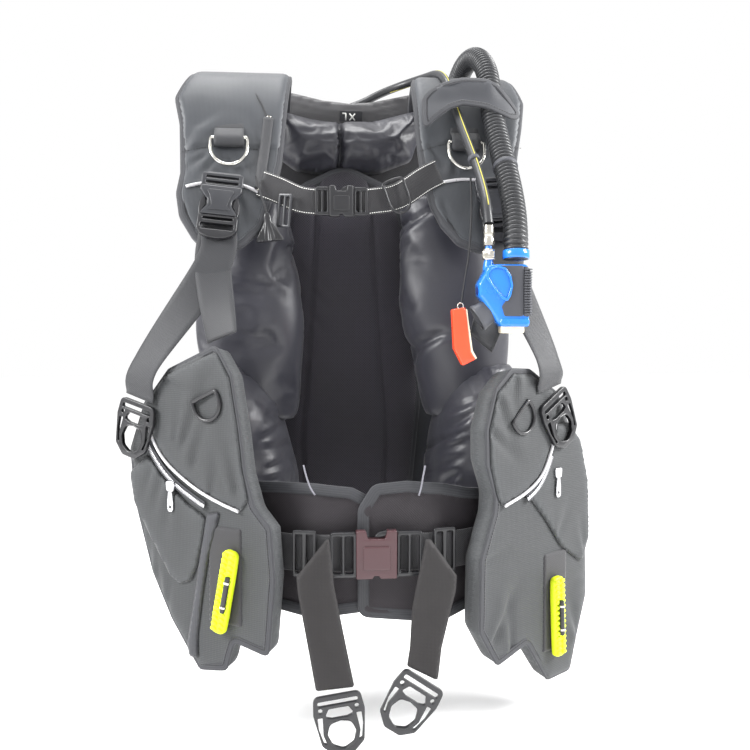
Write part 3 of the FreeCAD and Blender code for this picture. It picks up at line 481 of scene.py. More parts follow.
# %% Sweeping a section
def sweep(path, section, across, closed=False, taper=None):
    """A section dragged along a path; across is the direction of the section's first axis."""
    path = np.asarray(path, float)
    count = len(path)
    across = np.broadcast_to(np.asarray(across, float), path.shape).copy()
    if closed:
        runs = np.roll(path, -1, 0) - np.roll(path, 1, 0)
    else:
        runs = np.gradient(path, axis=0)
    runs /= np.linalg.norm(runs, axis=1)[:, None]
    across -= runs * (across * runs).sum(1)[:, None]
    across /= np.linalg.norm(across, axis=1)[:, None]
    up = np.cross(runs, across)
    section = np.asarray(section, float)
    size = len(section)
    scale = np.ones(count) if taper is None else np.asarray(taper, float)
    points = (path[:, None] + across[:, None] * section[None, :, :1] * scale[:, None, None]
              + up[:, None] * section[None, :, 1:] * scale[:, None, None]).reshape(-1, 3)
    lengths = np.concatenate([[0], np.cumsum(np.linalg.norm(np.diff(path, axis=0), axis=1))])
    cloth_map = [(section[j, 0], lengths[i]) for i in range(count) for j in range(size)]
    faces = []
    for i in range(count if closed else count - 1):
        k = (i + 1) % count
        for j in range(size):
            n = (j + 1) % size
            faces.append((i * size + j, i * size + n, k * size + n, k * size + j))
    if not closed:
        faces.append(tuple(range(size - 1, -1, -1)))
        faces.append(tuple((count - 1) * size + j for j in range(size)))
    return points, faces, cloth_map


def ring_section(radius, sides=10):
    """A circle as a section."""
    return [(radius * math.cos(2 * math.pi * j / sides), radius * math.sin(2 * math.pi * j / sides))
            for j in range(sides)]


def flat_section(wide, thick, cuts=8):
    """A strap's section: flat, with rounded selvedges."""
    half, lift = wide / 2, thick / 2
    top = [(x, lift) for x in np.linspace(half - lift, -half + lift, cuts)]
    low = [(x, -lift) for x in np.linspace(-half + lift, half - lift, cuts)]
    return [(half, 0.0)] + top + [(-half, 0.0)] + low


def strap(stations, across, wide_mm, thick_mm=2.0, step_mm=5.0):
    """Webbing through stations in millimetres; across has one direction or one for each station."""
    knots = np.asarray(stations, float) * MM
    path = smooth_path(knots, step_mm * MM)
    sides = np.asarray(across, float)
    if sides.ndim == 2:
        marks = np.concatenate([[0], np.cumsum(np.linalg.norm(np.diff(knots, axis=0), axis=1))])
        spots = np.concatenate([[0], np.cumsum(np.linalg.norm(np.diff(path, axis=0), axis=1))])
        spots *= marks[-1] / spots[-1]
        sides = np.stack([np.interp(spots, marks, sides[:, k]) for k in range(3)], axis=1)
    return sweep(path, flat_section(wide_mm * MM, thick_mm * MM), sides)


def wire(points, radius_mm, step_mm=4.0, closed=False, sides=10, across=(0.37, 0.91, 0.18)):
    """A round wire or cord through points in millimetres."""
    knots = np.asarray(points, float) * MM
    if closed:
        path = even(smooth_path(np.vstack([knots[-2:], knots, knots[:2]]), step_mm * MM / 4),
                    step_mm * MM / 4)
        first = int(np.argmin(np.linalg.norm(path - knots[0], axis=1)[:len(path) // 2]))
        last = len(path) // 2 + int(np.argmin(np.linalg.norm(path[len(path) // 2:] - knots[0], axis=1)))
        path = even(path[first:last], step_mm * MM, closed=True)
    else:
        path = smooth_path(knots, step_mm * MM)
    return sweep(path, ring_section(radius_mm * MM, sides), across, closed)


# %% [markdown]
# A sewn panel starts as a flat cutting pattern. The pattern is filled with a lattice of triangles about
# 4 mm on a side, joined to its rim by a Delaunay triangulation, which keeps the triangles even enough
# for bending and for cloth simulation. Two functions of the place and of the distance to the rim give
# the front and back their depth, and a third function carries the flat pattern into space.

# %% Filling a pattern
def distance_to_rim(spots, rim):
    """Each spot's distance to a closed outline."""
    start, end = rim, np.roll(rim, -1, 0)
    run = end - start
    best = np.full(len(spots), 1e9)
    for a, d in zip(start, run):
        t = np.clip(((spots - a) @ d) / max(d @ d, 1e-12), 0, 1)
        best = np.minimum(best, np.linalg.norm(spots - a - t[:, None] * d, axis=1))
    return best


def inside_rim(spots, rim):
    """Which spots lie inside a closed outline."""
    inside = np.zeros(len(spots), bool)
    for a, b in zip(rim, np.roll(rim, -1, 0)):
        if a[1] == b[1]:
            continue
        crosses = (spots[:, 1] > min(a[1], b[1])) & (spots[:, 1] <= max(a[1], b[1]))
        reach = a[0] + (spots[:, 1] - a[1]) * (b[0] - a[0]) / (b[1] - a[1])
        inside ^= crosses & (spots[:, 0] < reach)
    return inside


def filled(rim, step):
    """The pattern's points, its triangles and each point's distance to the rim."""
    low, high = rim.min(0), rim.max(0)
    rows = np.arange(low[1], high[1], step * 0.87)
    lattice = np.array([(x + (i % 2) * step / 2, y) for i,
                        y in enumerate(rows) for x in np.arange(low[0], high[0], step)])
    lattice = lattice[inside_rim(lattice, rim)]
    lattice = lattice[distance_to_rim(lattice, rim) > step * 0.62]
    spots = np.vstack([rim, lattice])
    loop = [(i, (i + 1) % len(rim)) for i in range(len(rim))]
    found = geometry.delaunay_2d_cdt([Vector(p) for p in spots], loop, [], 1, 1e-7)
    spots = np.array([tuple(p) for p in found[0]])
    return spots, [tuple(face) for face in found[2]], distance_to_rim(spots, rim)


def crown(distance, reach):
    """0 at the rim, 1 from reach inwards, round in between."""
    t = np.clip(distance / reach, 0, 1)
    return np.sqrt(1 - (1 - t) ** 2)


def shell(rim, front, back, place, step=4.5 * MM):
    """Cloth over a pattern, closed behind. front and back give depths; place takes (u, v, depth) arrays."""
    spots, triangles, distance = filled(rim, step)
    u, v = spots[:, 0], spots[:, 1]
    on_rim = distance < 1e-6
    count = len(spots)
    triangles = [t for t in triangles if not on_rim[list(t)].all()]
    front_points = place(u, v, front(u, v, distance))
    back_points = place(u, v, back(u, v, distance))
    back_number = np.where(on_rim, np.arange(count), -1)
    back_number[~on_rim] = count + np.arange((~on_rim).sum())
    points = np.vstack([front_points, back_points[~on_rim]])
    area = sum((spots[t[1]][0] - spots[t[0]][0]) * (spots[t[2]][1] - spots[t[0]][1])
               - (spots[t[2]][0] - spots[t[0]][0]) * (spots[t[1]][1] - spots[t[0]][1]) for t in triangles)
    if area < 0:
        triangles = [t[::-1] for t in triangles]
    faces = [tuple(t) for t in triangles] + [tuple(int(back_number[i]) for i in t[::-1]) for t in triangles]
    cloth_map = np.vstack([spots, spots[~on_rim]])
    edge = np.exp(-distance / (9 * MM))
    return points, faces, cloth_map, np.concatenate([edge, edge[~on_rim]])


def outward(shape):
    """The shape with its faces turned to point outwards."""
    work = bmesh.new()
    vertices = [work.verts.new(tuple(p)) for p in shape[0]]
    for face in shape[1]:
        work.faces.new([vertices[i] for i in face])
    bmesh.ops.recalc_face_normals(work, faces=work.faces)
    work.verts.index_update()
    faces = [tuple(v.index for v in face.verts) for face in work.faces]
    work.free()
    return (shape[0], faces) + tuple(shape[2:])


def tape(rim_points, inward, lift, wide_mm=9.0, thick_mm=1.4, over_mm=1.2):
    """Binding folded over a rim: rim_points in space, inward along the cloth and lift off it."""
    half = thick_mm * MM / 2
    wide, over = wide_mm * MM, over_mm * MM
    section = [(-over, 0.0), (-over * 0.7, half * 0.8), (0.0, half), (wide * 0.5, half),
               (wide - 0.4 * MM, half),
               (wide, half * 0.4), (wide, -half * 0.4), (wide - 0.4 * MM, -half), (wide * 0.5, -half),
               (0.0, -half),
               (-over * 0.7, -half * 0.8)]
    count, size = len(rim_points), len(section)
    points = [rim_points[i] + inward[i] * a + lift[i] * b for i in range(count) for a, b in section]
    faces = [(i * size + j, i * size + (j + 1) % size, ((i + 1) % count) * size + (j + 1) % size,
              ((i + 1) % count) * size + j)
             for i in range(count) for j in range(size)]
    lengths = np.concatenate([[0], np.cumsum(np.linalg.norm(np.diff(rim_points, axis=0), axis=1))])
    cloth_map = [(a, lengths[i]) for i in range(count) for a, b in section]
    return outward((points, faces, cloth_map))


def bound_edge(rim, place, depth_mm, wide_mm=9.0, over_mm=1.2, lift_mm=0.0):
    """The binding tape of a pattern carried into space by the pattern's own place function."""
    tangent = np.roll(rim, -1, 0) - np.roll(rim, 1, 0)
    normal = np.stack([-tangent[:, 1], tangent[:, 0]], 1)
    normal /= np.linalg.norm(normal, axis=1)[:, None]
    probe = rim + normal * 0.5 * MM
    flip = np.where(inside_rim(probe, rim), 1.0, -1.0)[:, None]
    normal *= flip
    level = np.full(len(rim), lift_mm * MM)
    on_rim = place(rim[:, 0], rim[:, 1], level)
    inner = place(rim[:, 0] + normal[:, 0] * MM, rim[:, 1] + normal[:, 1] * MM, level)
    above = place(rim[:, 0], rim[:, 1], level + MM)
    inward = (inner - on_rim) / np.linalg.norm(inner - on_rim, axis=1)[:, None]
    lift = (above - on_rim) / np.linalg.norm(above - on_rim, axis=1)[:, None]
    return tape(on_rim, inward, lift, wide_mm, depth_mm, over_mm)


# %% [markdown]
# Moulded parts are flat shapes with rolled edges. A filled two-dimensional curve does this well: each
# loop of points becomes an outline or a window, extrusion gives the thickness and a small bevel rolls
# the edges. It is turned to a plain mesh at once. Turned parts are a profile spun round an axis.

# %% Plates and turned parts
def plate(loops, depth_mm, roll_mm=0.8):
    """A moulded plate from loops of (x, z) in millimetres, from y = 0 to -depth, with rolled edges."""
    curve = bpy.data.curves.new("plate", "CURVE")
    curve.dimensions = "2D"
    curve.fill_mode = "BOTH"
    curve.extrude = (depth_mm / 2 - roll_mm) * MM
    curve.bevel_depth = roll_mm * MM
    curve.bevel_resolution = 2
    curve.offset = -roll_mm * MM
    for loop in loops:
        spline = curve.splines.new("POLY")
        spline.points.add(len(loop) - 1)
        for spot, (x, z) in zip(spline.points, loop):
            spot.co = (x * MM, z * MM, 0.0, 1.0)
        spline.use_cyclic_u = True
    holder = bpy.data.objects.new("plate", curve)
    bpy.context.scene.collection.objects.link(holder)
    bpy.context.view_layer.update()
    mesh = bpy.data.meshes.new_from_object(holder.evaluated_get(bpy.context.evaluated_depsgraph_get()))
    bpy.data.objects.remove(holder)
    work = bmesh.new()
    work.from_mesh(mesh)
    bmesh.ops.remove_doubles(work, verts=work.verts, dist=1e-6)
    bmesh.ops.recalc_face_normals(work, faces=work.faces)
    work.verts.index_update()
    points = [(v.co.x, -v.co.z - depth_mm / 2 * MM, v.co.y) for v in work.verts]
    faces = [tuple(v.index for v in face.verts) for face in work.faces]
    work.free()
    return outward((points, faces))


def loop_of(corners, radius, step=1.2):
    """A rounded outline in millimetres, for a plate."""
    return rounded(corners, radius, step)


def ring_loop(x, z, radius, sides=28):
    """A round hole or disc, for a plate."""
    return [(x + radius * math.cos(2 * math.pi * i / sides),
             z + radius * math.sin(2 * math.pi * i / sides)) for i in range(sides)]


def box_loop(x_low, x_high, z_low, z_high, radius=1.5):
    """A rounded rectangle, for a plate."""
    return loop_of([(x_low, z_low), (x_high, z_low), (x_high, z_high), (x_low, z_high)], radius)


def turned(profile, sides=32, ripple=None):
    """A profile of (radius, height) in millimetres spun round +Z and closed at both ends."""
    points, faces = [], []
    for radius, height in profile:
        for i in range(sides):
            angle = 2 * math.pi * i / sides
            reach = radius * (ripple(angle, height) if ripple else 1.0)
            points.append((reach * MM * math.cos(angle), reach * MM * math.sin(angle), height * MM))
    for k in range(len(profile) - 1):
        for i in range(sides):
            n = (i + 1) % sides
            faces.append((k * sides + i, k * sides + n, (k + 1) * sides + n, (k + 1) * sides + i))
    faces.append(tuple(range(sides - 1, -1, -1)))
    faces.append(tuple((len(profile) - 1) * sides + i for i in range(sides)))
    return outward((points, faces))


# %% [markdown]
# Stitches, zip teeth, grip nubs and ribs are one small rounded block repeated along a line. Geometry
# Nodes do that well: the line is cut into equal steps, a block is set on each with its long side along
# the line and its top facing the line's own "up", and the copies are made real so that they export. The
# tree is built once; each use types its own spacing and block size into the modifier.

# %% Repeating a block along a line
def repeat_tree():
    tree = bpy.data.node_groups.new("blocks along a line", "GeometryNodeTree")
    for label, kind in (("Line", "NodeSocketGeometry"), ("Spacing", "NodeSocketFloat"),
                        ("Block size", "NodeSocketVector"),
                        ("Corner", "NodeSocketFloat"), ("Finish", "NodeSocketMaterial")):
        tree.interface.new_socket(label, in_out="INPUT", socket_type=kind)
    tree.interface.new_socket("Blocks", in_out="OUTPUT", socket_type="NodeSocketGeometry")
    given = add_node(tree, "NodeGroupInput").outputs
    curve = add_node(tree, "GeometryNodeMeshToCurve", {"Mesh": given["Line"]})
    evenly = add_node(tree, "GeometryNodeResampleCurve",
                      {"Curve": curve.outputs[0], "Length": given["Spacing"]}, mode="LENGTH")
    tangent = add_node(tree, "GeometryNodeInputTangent")
    up = add_node(tree, "GeometryNodeInputNamedAttribute", {"Name": "up"}, data_type="FLOAT_VECTOR")
    along = add_node(tree, "FunctionNodeAlignRotationToVector", {"Vector": tangent.outputs[0]}, axis="X")
    upright_too = add_node(tree, "FunctionNodeAlignRotationToVector",
                           {"Rotation": along.outputs[0], "Vector": up.outputs[0]},
                           axis="Z", pivot_axis="X")
    block = add_node(tree, "GeometryNodeMeshCube", {"Size": (1.2, 1.2, 1.2)})
    soft = add_node(tree, "GeometryNodeSubdivisionSurface",
                    {"Mesh": block.outputs[0], "Level": 1, "Edge Crease": given["Corner"]})
    smooth = add_node(tree, "GeometryNodeSetShadeSmooth", {0: soft.outputs[0]})
    copies = add_node(tree, "GeometryNodeInstanceOnPoints",
                      {"Points": evenly.outputs[0], "Instance": smooth.outputs[0],
                                                             "Rotation": upright_too.outputs[0],
                                                             "Scale": given["Block size"]})
    real = add_node(tree, "GeometryNodeRealizeInstances", {0: copies.outputs[0]})
    dressed = add_node(tree, "GeometryNodeSetMaterial",
                       {"Geometry": real.outputs[0], "Material": given["Finish"]})
    add_node(tree, "NodeGroupOutput", {"Blocks": dressed.outputs[0]})
    return tree


block_tree = repeat_tree()


def evaluated_mesh(holder, tree, values):
    """The plain mesh that a Geometry Nodes tree makes from an object; the object is removed."""
    modifier = holder.modifiers.new("maker", "NODES")
    modifier.node_group = tree
    for socket in tree.interface.items_tree:
        if socket.in_out == "INPUT" and socket.name in values:
            modifier[socket.identifier] = values[socket.name]
    made = bpy.data.meshes.new_from_object(holder.evaluated_get(bpy.context.evaluated_depsgraph_get()))
    bpy.data.objects.remove(holder)
    return made


def kept(name, body, mesh, instead=()):
    """A finished mesh as an object riding on a body."""
    mesh.name = name
    made = bpy.data.objects.new(name, mesh)
    bpy.context.scene.collection.objects.link(made)
    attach(made, body)
    if instead:
        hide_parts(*instead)
    return made


def repeated(name, body, lines, spacing_mm, size_mm, finish, corner=0.5, instead=()):
    """Blocks repeated along lines; each line is (points, ups, closed) in metres."""
    points, ups, edges = [], [], []
    for line, up, closed in lines:
        first = len(points)
        points.extend(map(tuple, line))
        ups.extend(map(tuple, up))
        edges.extend((first + i, first + i + 1) for i in range(len(line) - 1))
        if closed:
            edges.append((first + len(line) - 1, first))
    mesh = bpy.data.meshes.new(name + "_line")
    mesh.from_pydata(points, edges, [])
    mesh.attributes.new("up", "FLOAT_VECTOR", "POINT").data.foreach_set("vector",
        np.asarray(ups, float).ravel())
    holder = bpy.data.objects.new(name + "_line", mesh)
    bpy.context.scene.collection.objects.link(holder)
    result = evaluated_mesh(holder, block_tree,
                            {"Spacing": spacing_mm * MM, "Block size": tuple(s * MM for s in size_mm),
                                                 "Corner": corner, "Finish": finish})
    return kept(name, body, result, instead)


def pattern_line(place, spots_mm, depth_mm, closed=False, smooth=True):
    """A line drawn on a pattern, carried into space, with its own up direction."""
    flat = np.asarray(spots_mm, float) * MM
    if smooth:
        flat = smooth_path(flat, 3 * MM)
    depth = np.full(len(flat), depth_mm * MM)
    low, high = place(flat[:, 0], flat[:, 1], depth), place(flat[:, 0], flat[:, 1], depth + MM)
    return low, high - low, closed


def inset(rim, distance_mm):
    """The rim moved inwards by a distance, for a row of stitches; both in the pattern's own metres."""
    tangent = np.roll(rim, -1, 0) - np.roll(rim, 1, 0)
    normal = np.stack([-tangent[:, 1], tangent[:, 0]], 1)
    normal /= np.linalg.norm(normal, axis=1)[:, None]
    normal *= np.where(inside_rim(rim + normal * 0.5 * MM, rim), 1.0, -1.0)[:, None]
    moved = rim + normal * distance_mm * MM
    return moved[distance_to_rim(moved, rim) > distance_mm * MM * 0.8] / MM


print("makers ready")

# %% [markdown]
# ## Folds and stuffing
#
# Cloth that is sewn round something never lies smooth: short folds start at each seam and run out into
# the cloth. A fold is drawn as a valley with a softer ridge beside it, and a small table of folds gives
# each piece its own. On top of those the cloth solver blows the neck pillow and the side cells up from
# inside for a few frames while their seams are held, with slightly longer threads than the shape needs,
# so that puckers form by themselves. Each point's move is capped, which keeps the piece inside its place.

# %% Folds and the cloth solver
def folded(u, v, folds):
    """The height in metres of folds (u0, v0, u1, v1, width, depth) in millimetres over the pattern."""
    total = np.zeros(len(u))
    for u0, v0, u1, v1, width, depth in folds:
        run = np.array([u1 - u0, v1 - v0])
        length = np.hypot(*run)
        du, dv = u / MM - u0, v / MM - v0
        along = (du * run[0] + dv * run[1]) / length ** 2
        aside = (dv * run[0] - du * run[1]) / length
        strength = np.clip((along + 0.15) / 0.15, 0, 1) * np.clip(1 - along, 0, 1) ** 0.8
        wide = width * (0.6 + 0.7 * np.clip(along, 0, 1))
        valley = -np.exp(-(aside / wide) ** 2)
        ridge = 0.6 * np.exp(-((aside - 1.8 * wide) / (1.3 * wide)) ** 2)
        total += depth * strength * (valley + ridge)
    return total * MM


def seam_folds(seed, path, lean, reach, width, depth, count):
    """Folds of uneven size that start along a path and run off it at about one lean in degrees."""
    chance = np.random.default_rng(seed)
    knots = np.asarray(path, float)
    marks = np.linspace(0, 1, len(knots))
    found = []
    for k in range(count):
        spot = (k + chance.uniform(0.1, 0.9)) / count
        u0, v0 = np.interp(spot, marks, knots[:, 0]), np.interp(spot, marks, knots[:, 1])
        angle = math.radians(lean + chance.uniform(-14, 14))
        long = reach * chance.uniform(0.45, 1.1)
        found.append((u0, v0, u0 + long * math.cos(angle), v0 + long * math.sin(angle),
                      width * chance.uniform(0.6, 1.2), depth * chance.uniform(0.4, 1.1)))
    return found


def inflated(made, held, pressure, growth, cap_mm, frames=16):
    """Runs the cloth solver on a piece and keeps the capped result. held is 1 where a seam holds."""
    before = np.empty(len(made.data.vertices) * 3)
    made.data.vertices.foreach_get("co", before)
    group = made.vertex_groups.new(name="held")
    for number, weight in enumerate(held):
        if weight > 0.01:
            group.add([number], float(weight), "REPLACE")
    cloth = made.modifiers.new("cloth", "CLOTH")
    cloth.settings.quality = 4
    cloth.settings.mass = 0.15
    cloth.settings.tension_stiffness = 12
    cloth.settings.compression_stiffness = 12
    cloth.settings.bending_stiffness = 0.35
    cloth.settings.use_pressure = True
    cloth.settings.uniform_pressure_force = pressure
    cloth.settings.shrink_min = -growth
    cloth.settings.vertex_group_mass = "held"
    cloth.settings.effector_weights.gravity = 0
    cloth.collision_settings.use_collision = False
    cloth.point_cache.frame_start, cloth.point_cache.frame_end = 1, frames
    scene = bpy.context.scene
    for number in range(1, frames + 1):
        scene.frame_set(number)
    after = np.empty_like(before)
    result = made.evaluated_get(bpy.context.evaluated_depsgraph_get())
    result.data.vertices.foreach_get("co", after)
    made.modifiers.remove(cloth)
    made.vertex_groups.clear()
    move = (after - before).reshape(-1, 3)
    size = np.linalg.norm(move, axis=1)
    move *= (np.minimum(size, cap_mm * MM) / np.maximum(size, 1e-9))[:, None]
    made.data.vertices.foreach_set("co", (before.reshape(-1, 3) + move).ravel())
    made.data.update()
    scene.frame_set(1)
    print(made.name, "moved up to", round(float(size.max()) / MM, 1), "mm, kept",
          round(float(np.minimum(size, cap_mm * MM).mean()) / MM, 2))
    return made


# %% [markdown]
# ## The pad at the wearer's back
#
# The pad is the darkest and quietest piece: a tall arch of spacer mesh over 20 mm of foam, with a taped
# top edge and two quilting seams that run down it. It is a filled pattern in an upright plane.

# %% Back pad
PAD_Y = -150.5


def upright(level_mm):
    """A place function for a pattern (x, z) that stands in an upright plane and faces the wearer."""
    def place(u, v, depth):
        return np.stack([u, np.full(len(u), level_mm * MM) - depth, v], axis=1)
    return place


pad_rim = rounded([(-122, -205), (82, -205), (104, 20), (84, 262), (55, 345), (-20, 380), (-95, 345),
                   (-124, 262), (-144, 20)],
                  44, 4.5) * MM
pad_folds = seam_folds(3, [(-92, 230), (-96, 120), (-110, 20)], -62, 62, 6, 3.2, 6) \
    + seam_folds(5, [(-70, 230), (-66, 120)], -48, 90, 9, 2.2, 3) + seam_folds(8, [(58, 180), (66, 40)],
        235, 60, 7, 1.8, 4)


def quilt_line(v):
    """How far the two quilting seams stand from the pad's middle, in metres."""
    return np.interp(v, np.array([-205, -60, 60, 260, 380]) * MM, np.array([62, 70, 60, 47, 40]) * MM)


def pad_front(u, v, d):
    quilt = np.abs(np.abs(u + 20 * MM) - quilt_line(v))
    groove = np.exp(-(quilt / (4.5 * MM)) ** 2)
    return 9 * MM + 11 * MM * crown(d, 24 * MM) - 4.5 * MM * groove * crown(d, 20 * MM) + folded(u, v,
        pad_folds) * crown(d, 20 * MM)


def pad_back(u, v, d):
    return 9 * MM - 8.5 * MM * crown(d, 10 * MM)


back_pad = piece("back_pad_cover", "root", outward(shell(pad_rim, pad_front, pad_back, upright(PAD_Y))),
                 cloths["mesh"],
                 ["back_pad"])
piece("back_pad_tape", "root", bound_edge(pad_rim, upright(PAD_Y), 15.0, 13.0, 1.5, 9.0), cloths["tape"])
print("back pad", len(back_pad.data.vertices), "points")

# %% [markdown]
# ## The air cell behind
#
# Behind the pad lies the horseshoe air cell, laced flat by the back plate. From behind it is the widest
# dark surface of the vest, so it gets a seamed edge and slack folds of its own.

# %% Air cell behind the pad
cell_rim = rounded([(-135, -225), (135, -225), (150, -100), (150, 180), (120, 345), (-120, 345),
                    (-150, 180), (-150, -100)], 45, 5) * MM
cell_folds = seam_folds(11, [(-148, -180), (-148, 300)], 0, 46, 7, 3.5, 10) + seam_folds(12,
    [(148, -180), (148, 300)], 180, 46, 7, 3.5, 10)


def cell_front(u, v, d):
    return 20 * MM + 20.5 * MM * crown(d, 22 * MM)


def cell_behind(u, v, d):
    hand = np.exp(-((u / (62 * MM)) ** 4 + ((v - 184 * MM) / (40 * MM)) ** 4))
    return 20 * MM - 19 * MM * crown(d, 30 * MM) + 14 * MM * hand + folded(u, v, cell_folds) * crown(d,
        30 * MM)


air_back = piece("air_cell_cover", "root",
                 outward(shell(cell_rim, cell_front, cell_behind, upright(-109))), cloths["flap"],
                 ["air_cell_back"])
piece("air_cell_tape", "root", bound_edge(cell_rim, upright(-109), 5.0, 9.0, 1.5, 20.0), cloths["tape"])
print("air cell", len(air_back.data.vertices), "points")

# %% [markdown]
# ## The neck pillow
#
# A soft roll sits under the collar, pinched by one upright crease in the middle. It is a filled pattern
# with a tall crown; the crease is a deep narrow valley that the solver keeps, since its floor is held.

# %% Neck pillow
pillow_rim = rounded([(-124, 470), (-70, 458), (-27, 452), (30, 456), (104, 476), (108, 440), (92, 392),
                      (40, 372), (-27, 366),
                      (-96, 374), (-128, 396), (-132, 440)], 16, 4) * MM
pillow_folds = [(-27, 384, -12, 436, 7, 7), (-30, 384, -54, 420, 6, 5), (-24, 448, -40, 430, 4, 3),
                (-22, 448, -8, 432, 4, 3),
                (92, 470, 50, 420, 8, 3), (-118, 466, -84, 424, 8, 3), (104, 440, 60, 420, 8, 3)]


def pillow_front(u, v, d):
    crease = np.exp(-((u + 27 * MM) / (3.4 * MM)) ** 2) * crown(d, 14 * MM)
    full = 62 * MM * crown(d, 46 * MM) * (1 - 0.12 * np.abs(u + 15 * MM) / (110 * MM))
    return full - 22 * MM * crease + folded(u, v, pillow_folds) * crown(d, 20 * MM)


def pillow_back(u, v, d):
    return -19 * MM * crown(d, 16 * MM)


pillow = piece("neck_pillow", "root",
               outward(shell(pillow_rim, pillow_front, pillow_back, upright(-131), 4.2 * MM)),
               cloths["cell"],
               ["air_cell_collar"])
across = np.array([v.co.x for v in pillow.data.vertices]) + 27 * MM
deep = np.array([v.co.y for v in pillow.data.vertices])
inflated(pillow, np.clip(np.exp(-(across / (5 * MM)) ** 2) + (deep > -134 * MM), 0, 1), 1.2, 0.04, 6)
print("pillow", len(pillow.data.vertices), "points")

# %% [markdown]
# ## The side cells
#
# On each side two air cells stand one above the other and hold the vest open. Each is a tube of satin
# nylon whose section grows and shrinks on the way up, so it is lofted: ellipses at measured heights are
# joined by a smooth curve. Folds run out from the seam where the pocket is sewn on.

# %% Lofting a cell
def lofted(sections, rings, sides, folds, flat=2.3):
    """A closed tube through (z, x, y, half width, half depth) sections, in millimetres."""
    table = np.asarray(sorted(sections), float)
    heights = np.linspace(0, 1, rings)
    base = smooth_path(table, 4.0)
    marks = np.linspace(0, 1, len(base))
    points, spots = [], []
    for h in heights:
        z, x, y, wide, deep = [np.interp(h, marks, base[:, k]) for k in range(5)]
        end = min(h, 1 - h) * np.linalg.norm(base[-1] - base[0])
        close = crown(np.array([end]), 0.75 * min(wide, deep))[0] if end < 0.75 * min(wide, deep) else 1.0
        close = 0.12 + 0.88 * close
        for i in range(sides):
            angle = 2 * math.pi * i / sides
            c, s = math.cos(angle), math.sin(angle)
            swell = (abs(c) ** flat + abs(s) ** flat) ** (-1 / flat) * close
            points.append((x + wide * c * swell, y + deep * s * swell, z))
            spots.append((angle * (wide + deep) / 2, z))
    points, spots = np.array(points), np.array(spots)
    lift = folded(spots[:, 0] * MM, spots[:, 1] * MM, folds) / MM
    middle = points.reshape(rings, sides, 3).mean(1).repeat(sides, 0)
    out = points - middle
    out[:, 2] = 0
    out /= np.maximum(np.linalg.norm(out, axis=1), 1e-6)[:, None]
    points = (points + out * lift[:, None]) * MM
    faces = [(k * sides + i, k * sides + (i + 1) % sides, (k + 1) * sides + (i + 1) % sides,
              (k + 1) * sides + i)
             for k in range(rings - 1) for i in range(sides)]
    faces.append(tuple(range(sides - 1, -1, -1)))
    faces.append(tuple((rings - 1) * sides + i for i in range(sides)))
    return outward((points, faces, spots * MM, [0.0] * len(points)))


# %% Side cells
UPPER_RIGHT = [(334, -150, -206, 34, 30), (318, -156, -212, 42, 38), (240, -163, -222, 58, 55),
               (140, -167, -230, 77, 62), (64, -166, -236, 70, 54),
               (0, -158, -232, 58, 46), (-30, -154, -228, 40, 36)]
LOWER_RIGHT = [(74, -208, -244, 26, 40), (52, -200, -244, 40, 56), (0, -186, -256, 56, 84),
               (-60, -174, -257, 62, 86), (-110, -165, -256, 64, 86),
               (-205, -158, -250, 54, 68), (-222, -158, -250, 38, 50)]
UPPER_LEFT = [(334, 110, -206, 40, 28), (318, 118, -212, 52, 38), (240, 140, -224, 80, 54),
              (140, 142, -232, 83, 60), (64, 152, -238, 70, 52),
              (0, 156, -232, 56, 46), (-30, 156, -228, 40, 36)]
LOWER_LEFT = [(74, 198, -244, 26, 40), (52, 190, -244, 40, 56), (0, 176, -256, 56, 84),
              (-60, 166, -257, 60, 86), (-110, 162, -256, 60, 86),
              (-205, 156, -250, 54, 68), (-222, 156, -250, 38, 50)]
cell_sizes = {
    "upper_right": ("right", UPPER_RIGHT, seam_folds(21, [(330, 70), (330, 330)], 160, 90, 8, 4, 5)
                    + [(20, 300, -40, 260, 9, 5), (-30, 250, 30, 200, 12, 5), (10, 160, 60, 80, 12, 5)]),
    "lower_right": ("right", LOWER_RIGHT,
                    seam_folds(22, [(395, 20), (395, -190)], 10, 95, 8, 5, 8) + [(395, 0, 480, -20, 8, 7)]),
    "upper_left": ("left", UPPER_LEFT, seam_folds(23, [(200, 60), (200, 330)], 200, 80, 10, 6, 5)
                   + [(260, 330, 180, 230, 12, 7), (290, 110, 160, 60, 10, 7)]),
    "lower_left": ("left", LOWER_LEFT, seam_folds(24, [(300, 30), (300, -190)], 205, 110, 9, 7, 10)),
}
cells = {}
for name, (side, sections, folds) in cell_sizes.items():
    instead = ["air_cell_" + side] if name.startswith("upper") else []
    cells[name] = piece("cell_" + name, "root", lofted(sections, 64, 72, folds), cloths["cell"],
                        instead)
    count = len(cells[name].data.vertices)
    ends = np.zeros(count)
    ends[:72 * 4] = ends[-72 * 4:] = 1.0
    inflated(cells[name], ends, 1.0, 0.05, 6, frames=12)
print("side cells", sum(len(c.data.vertices) for c in cells.values()), "points")

# %% [markdown]
# ## Shoulder panels
#
# Each panel is foam between two nylon faces, bent over the shoulder. Its cutting pattern is drawn flat:
# u runs across the shoulder and v runs along the bend, from the end behind to the rounded tip at the
# front. A place function walks v along the bend line, so seams, piping and stitches drawn on the pattern
# land on the bent panel without any further fitting.

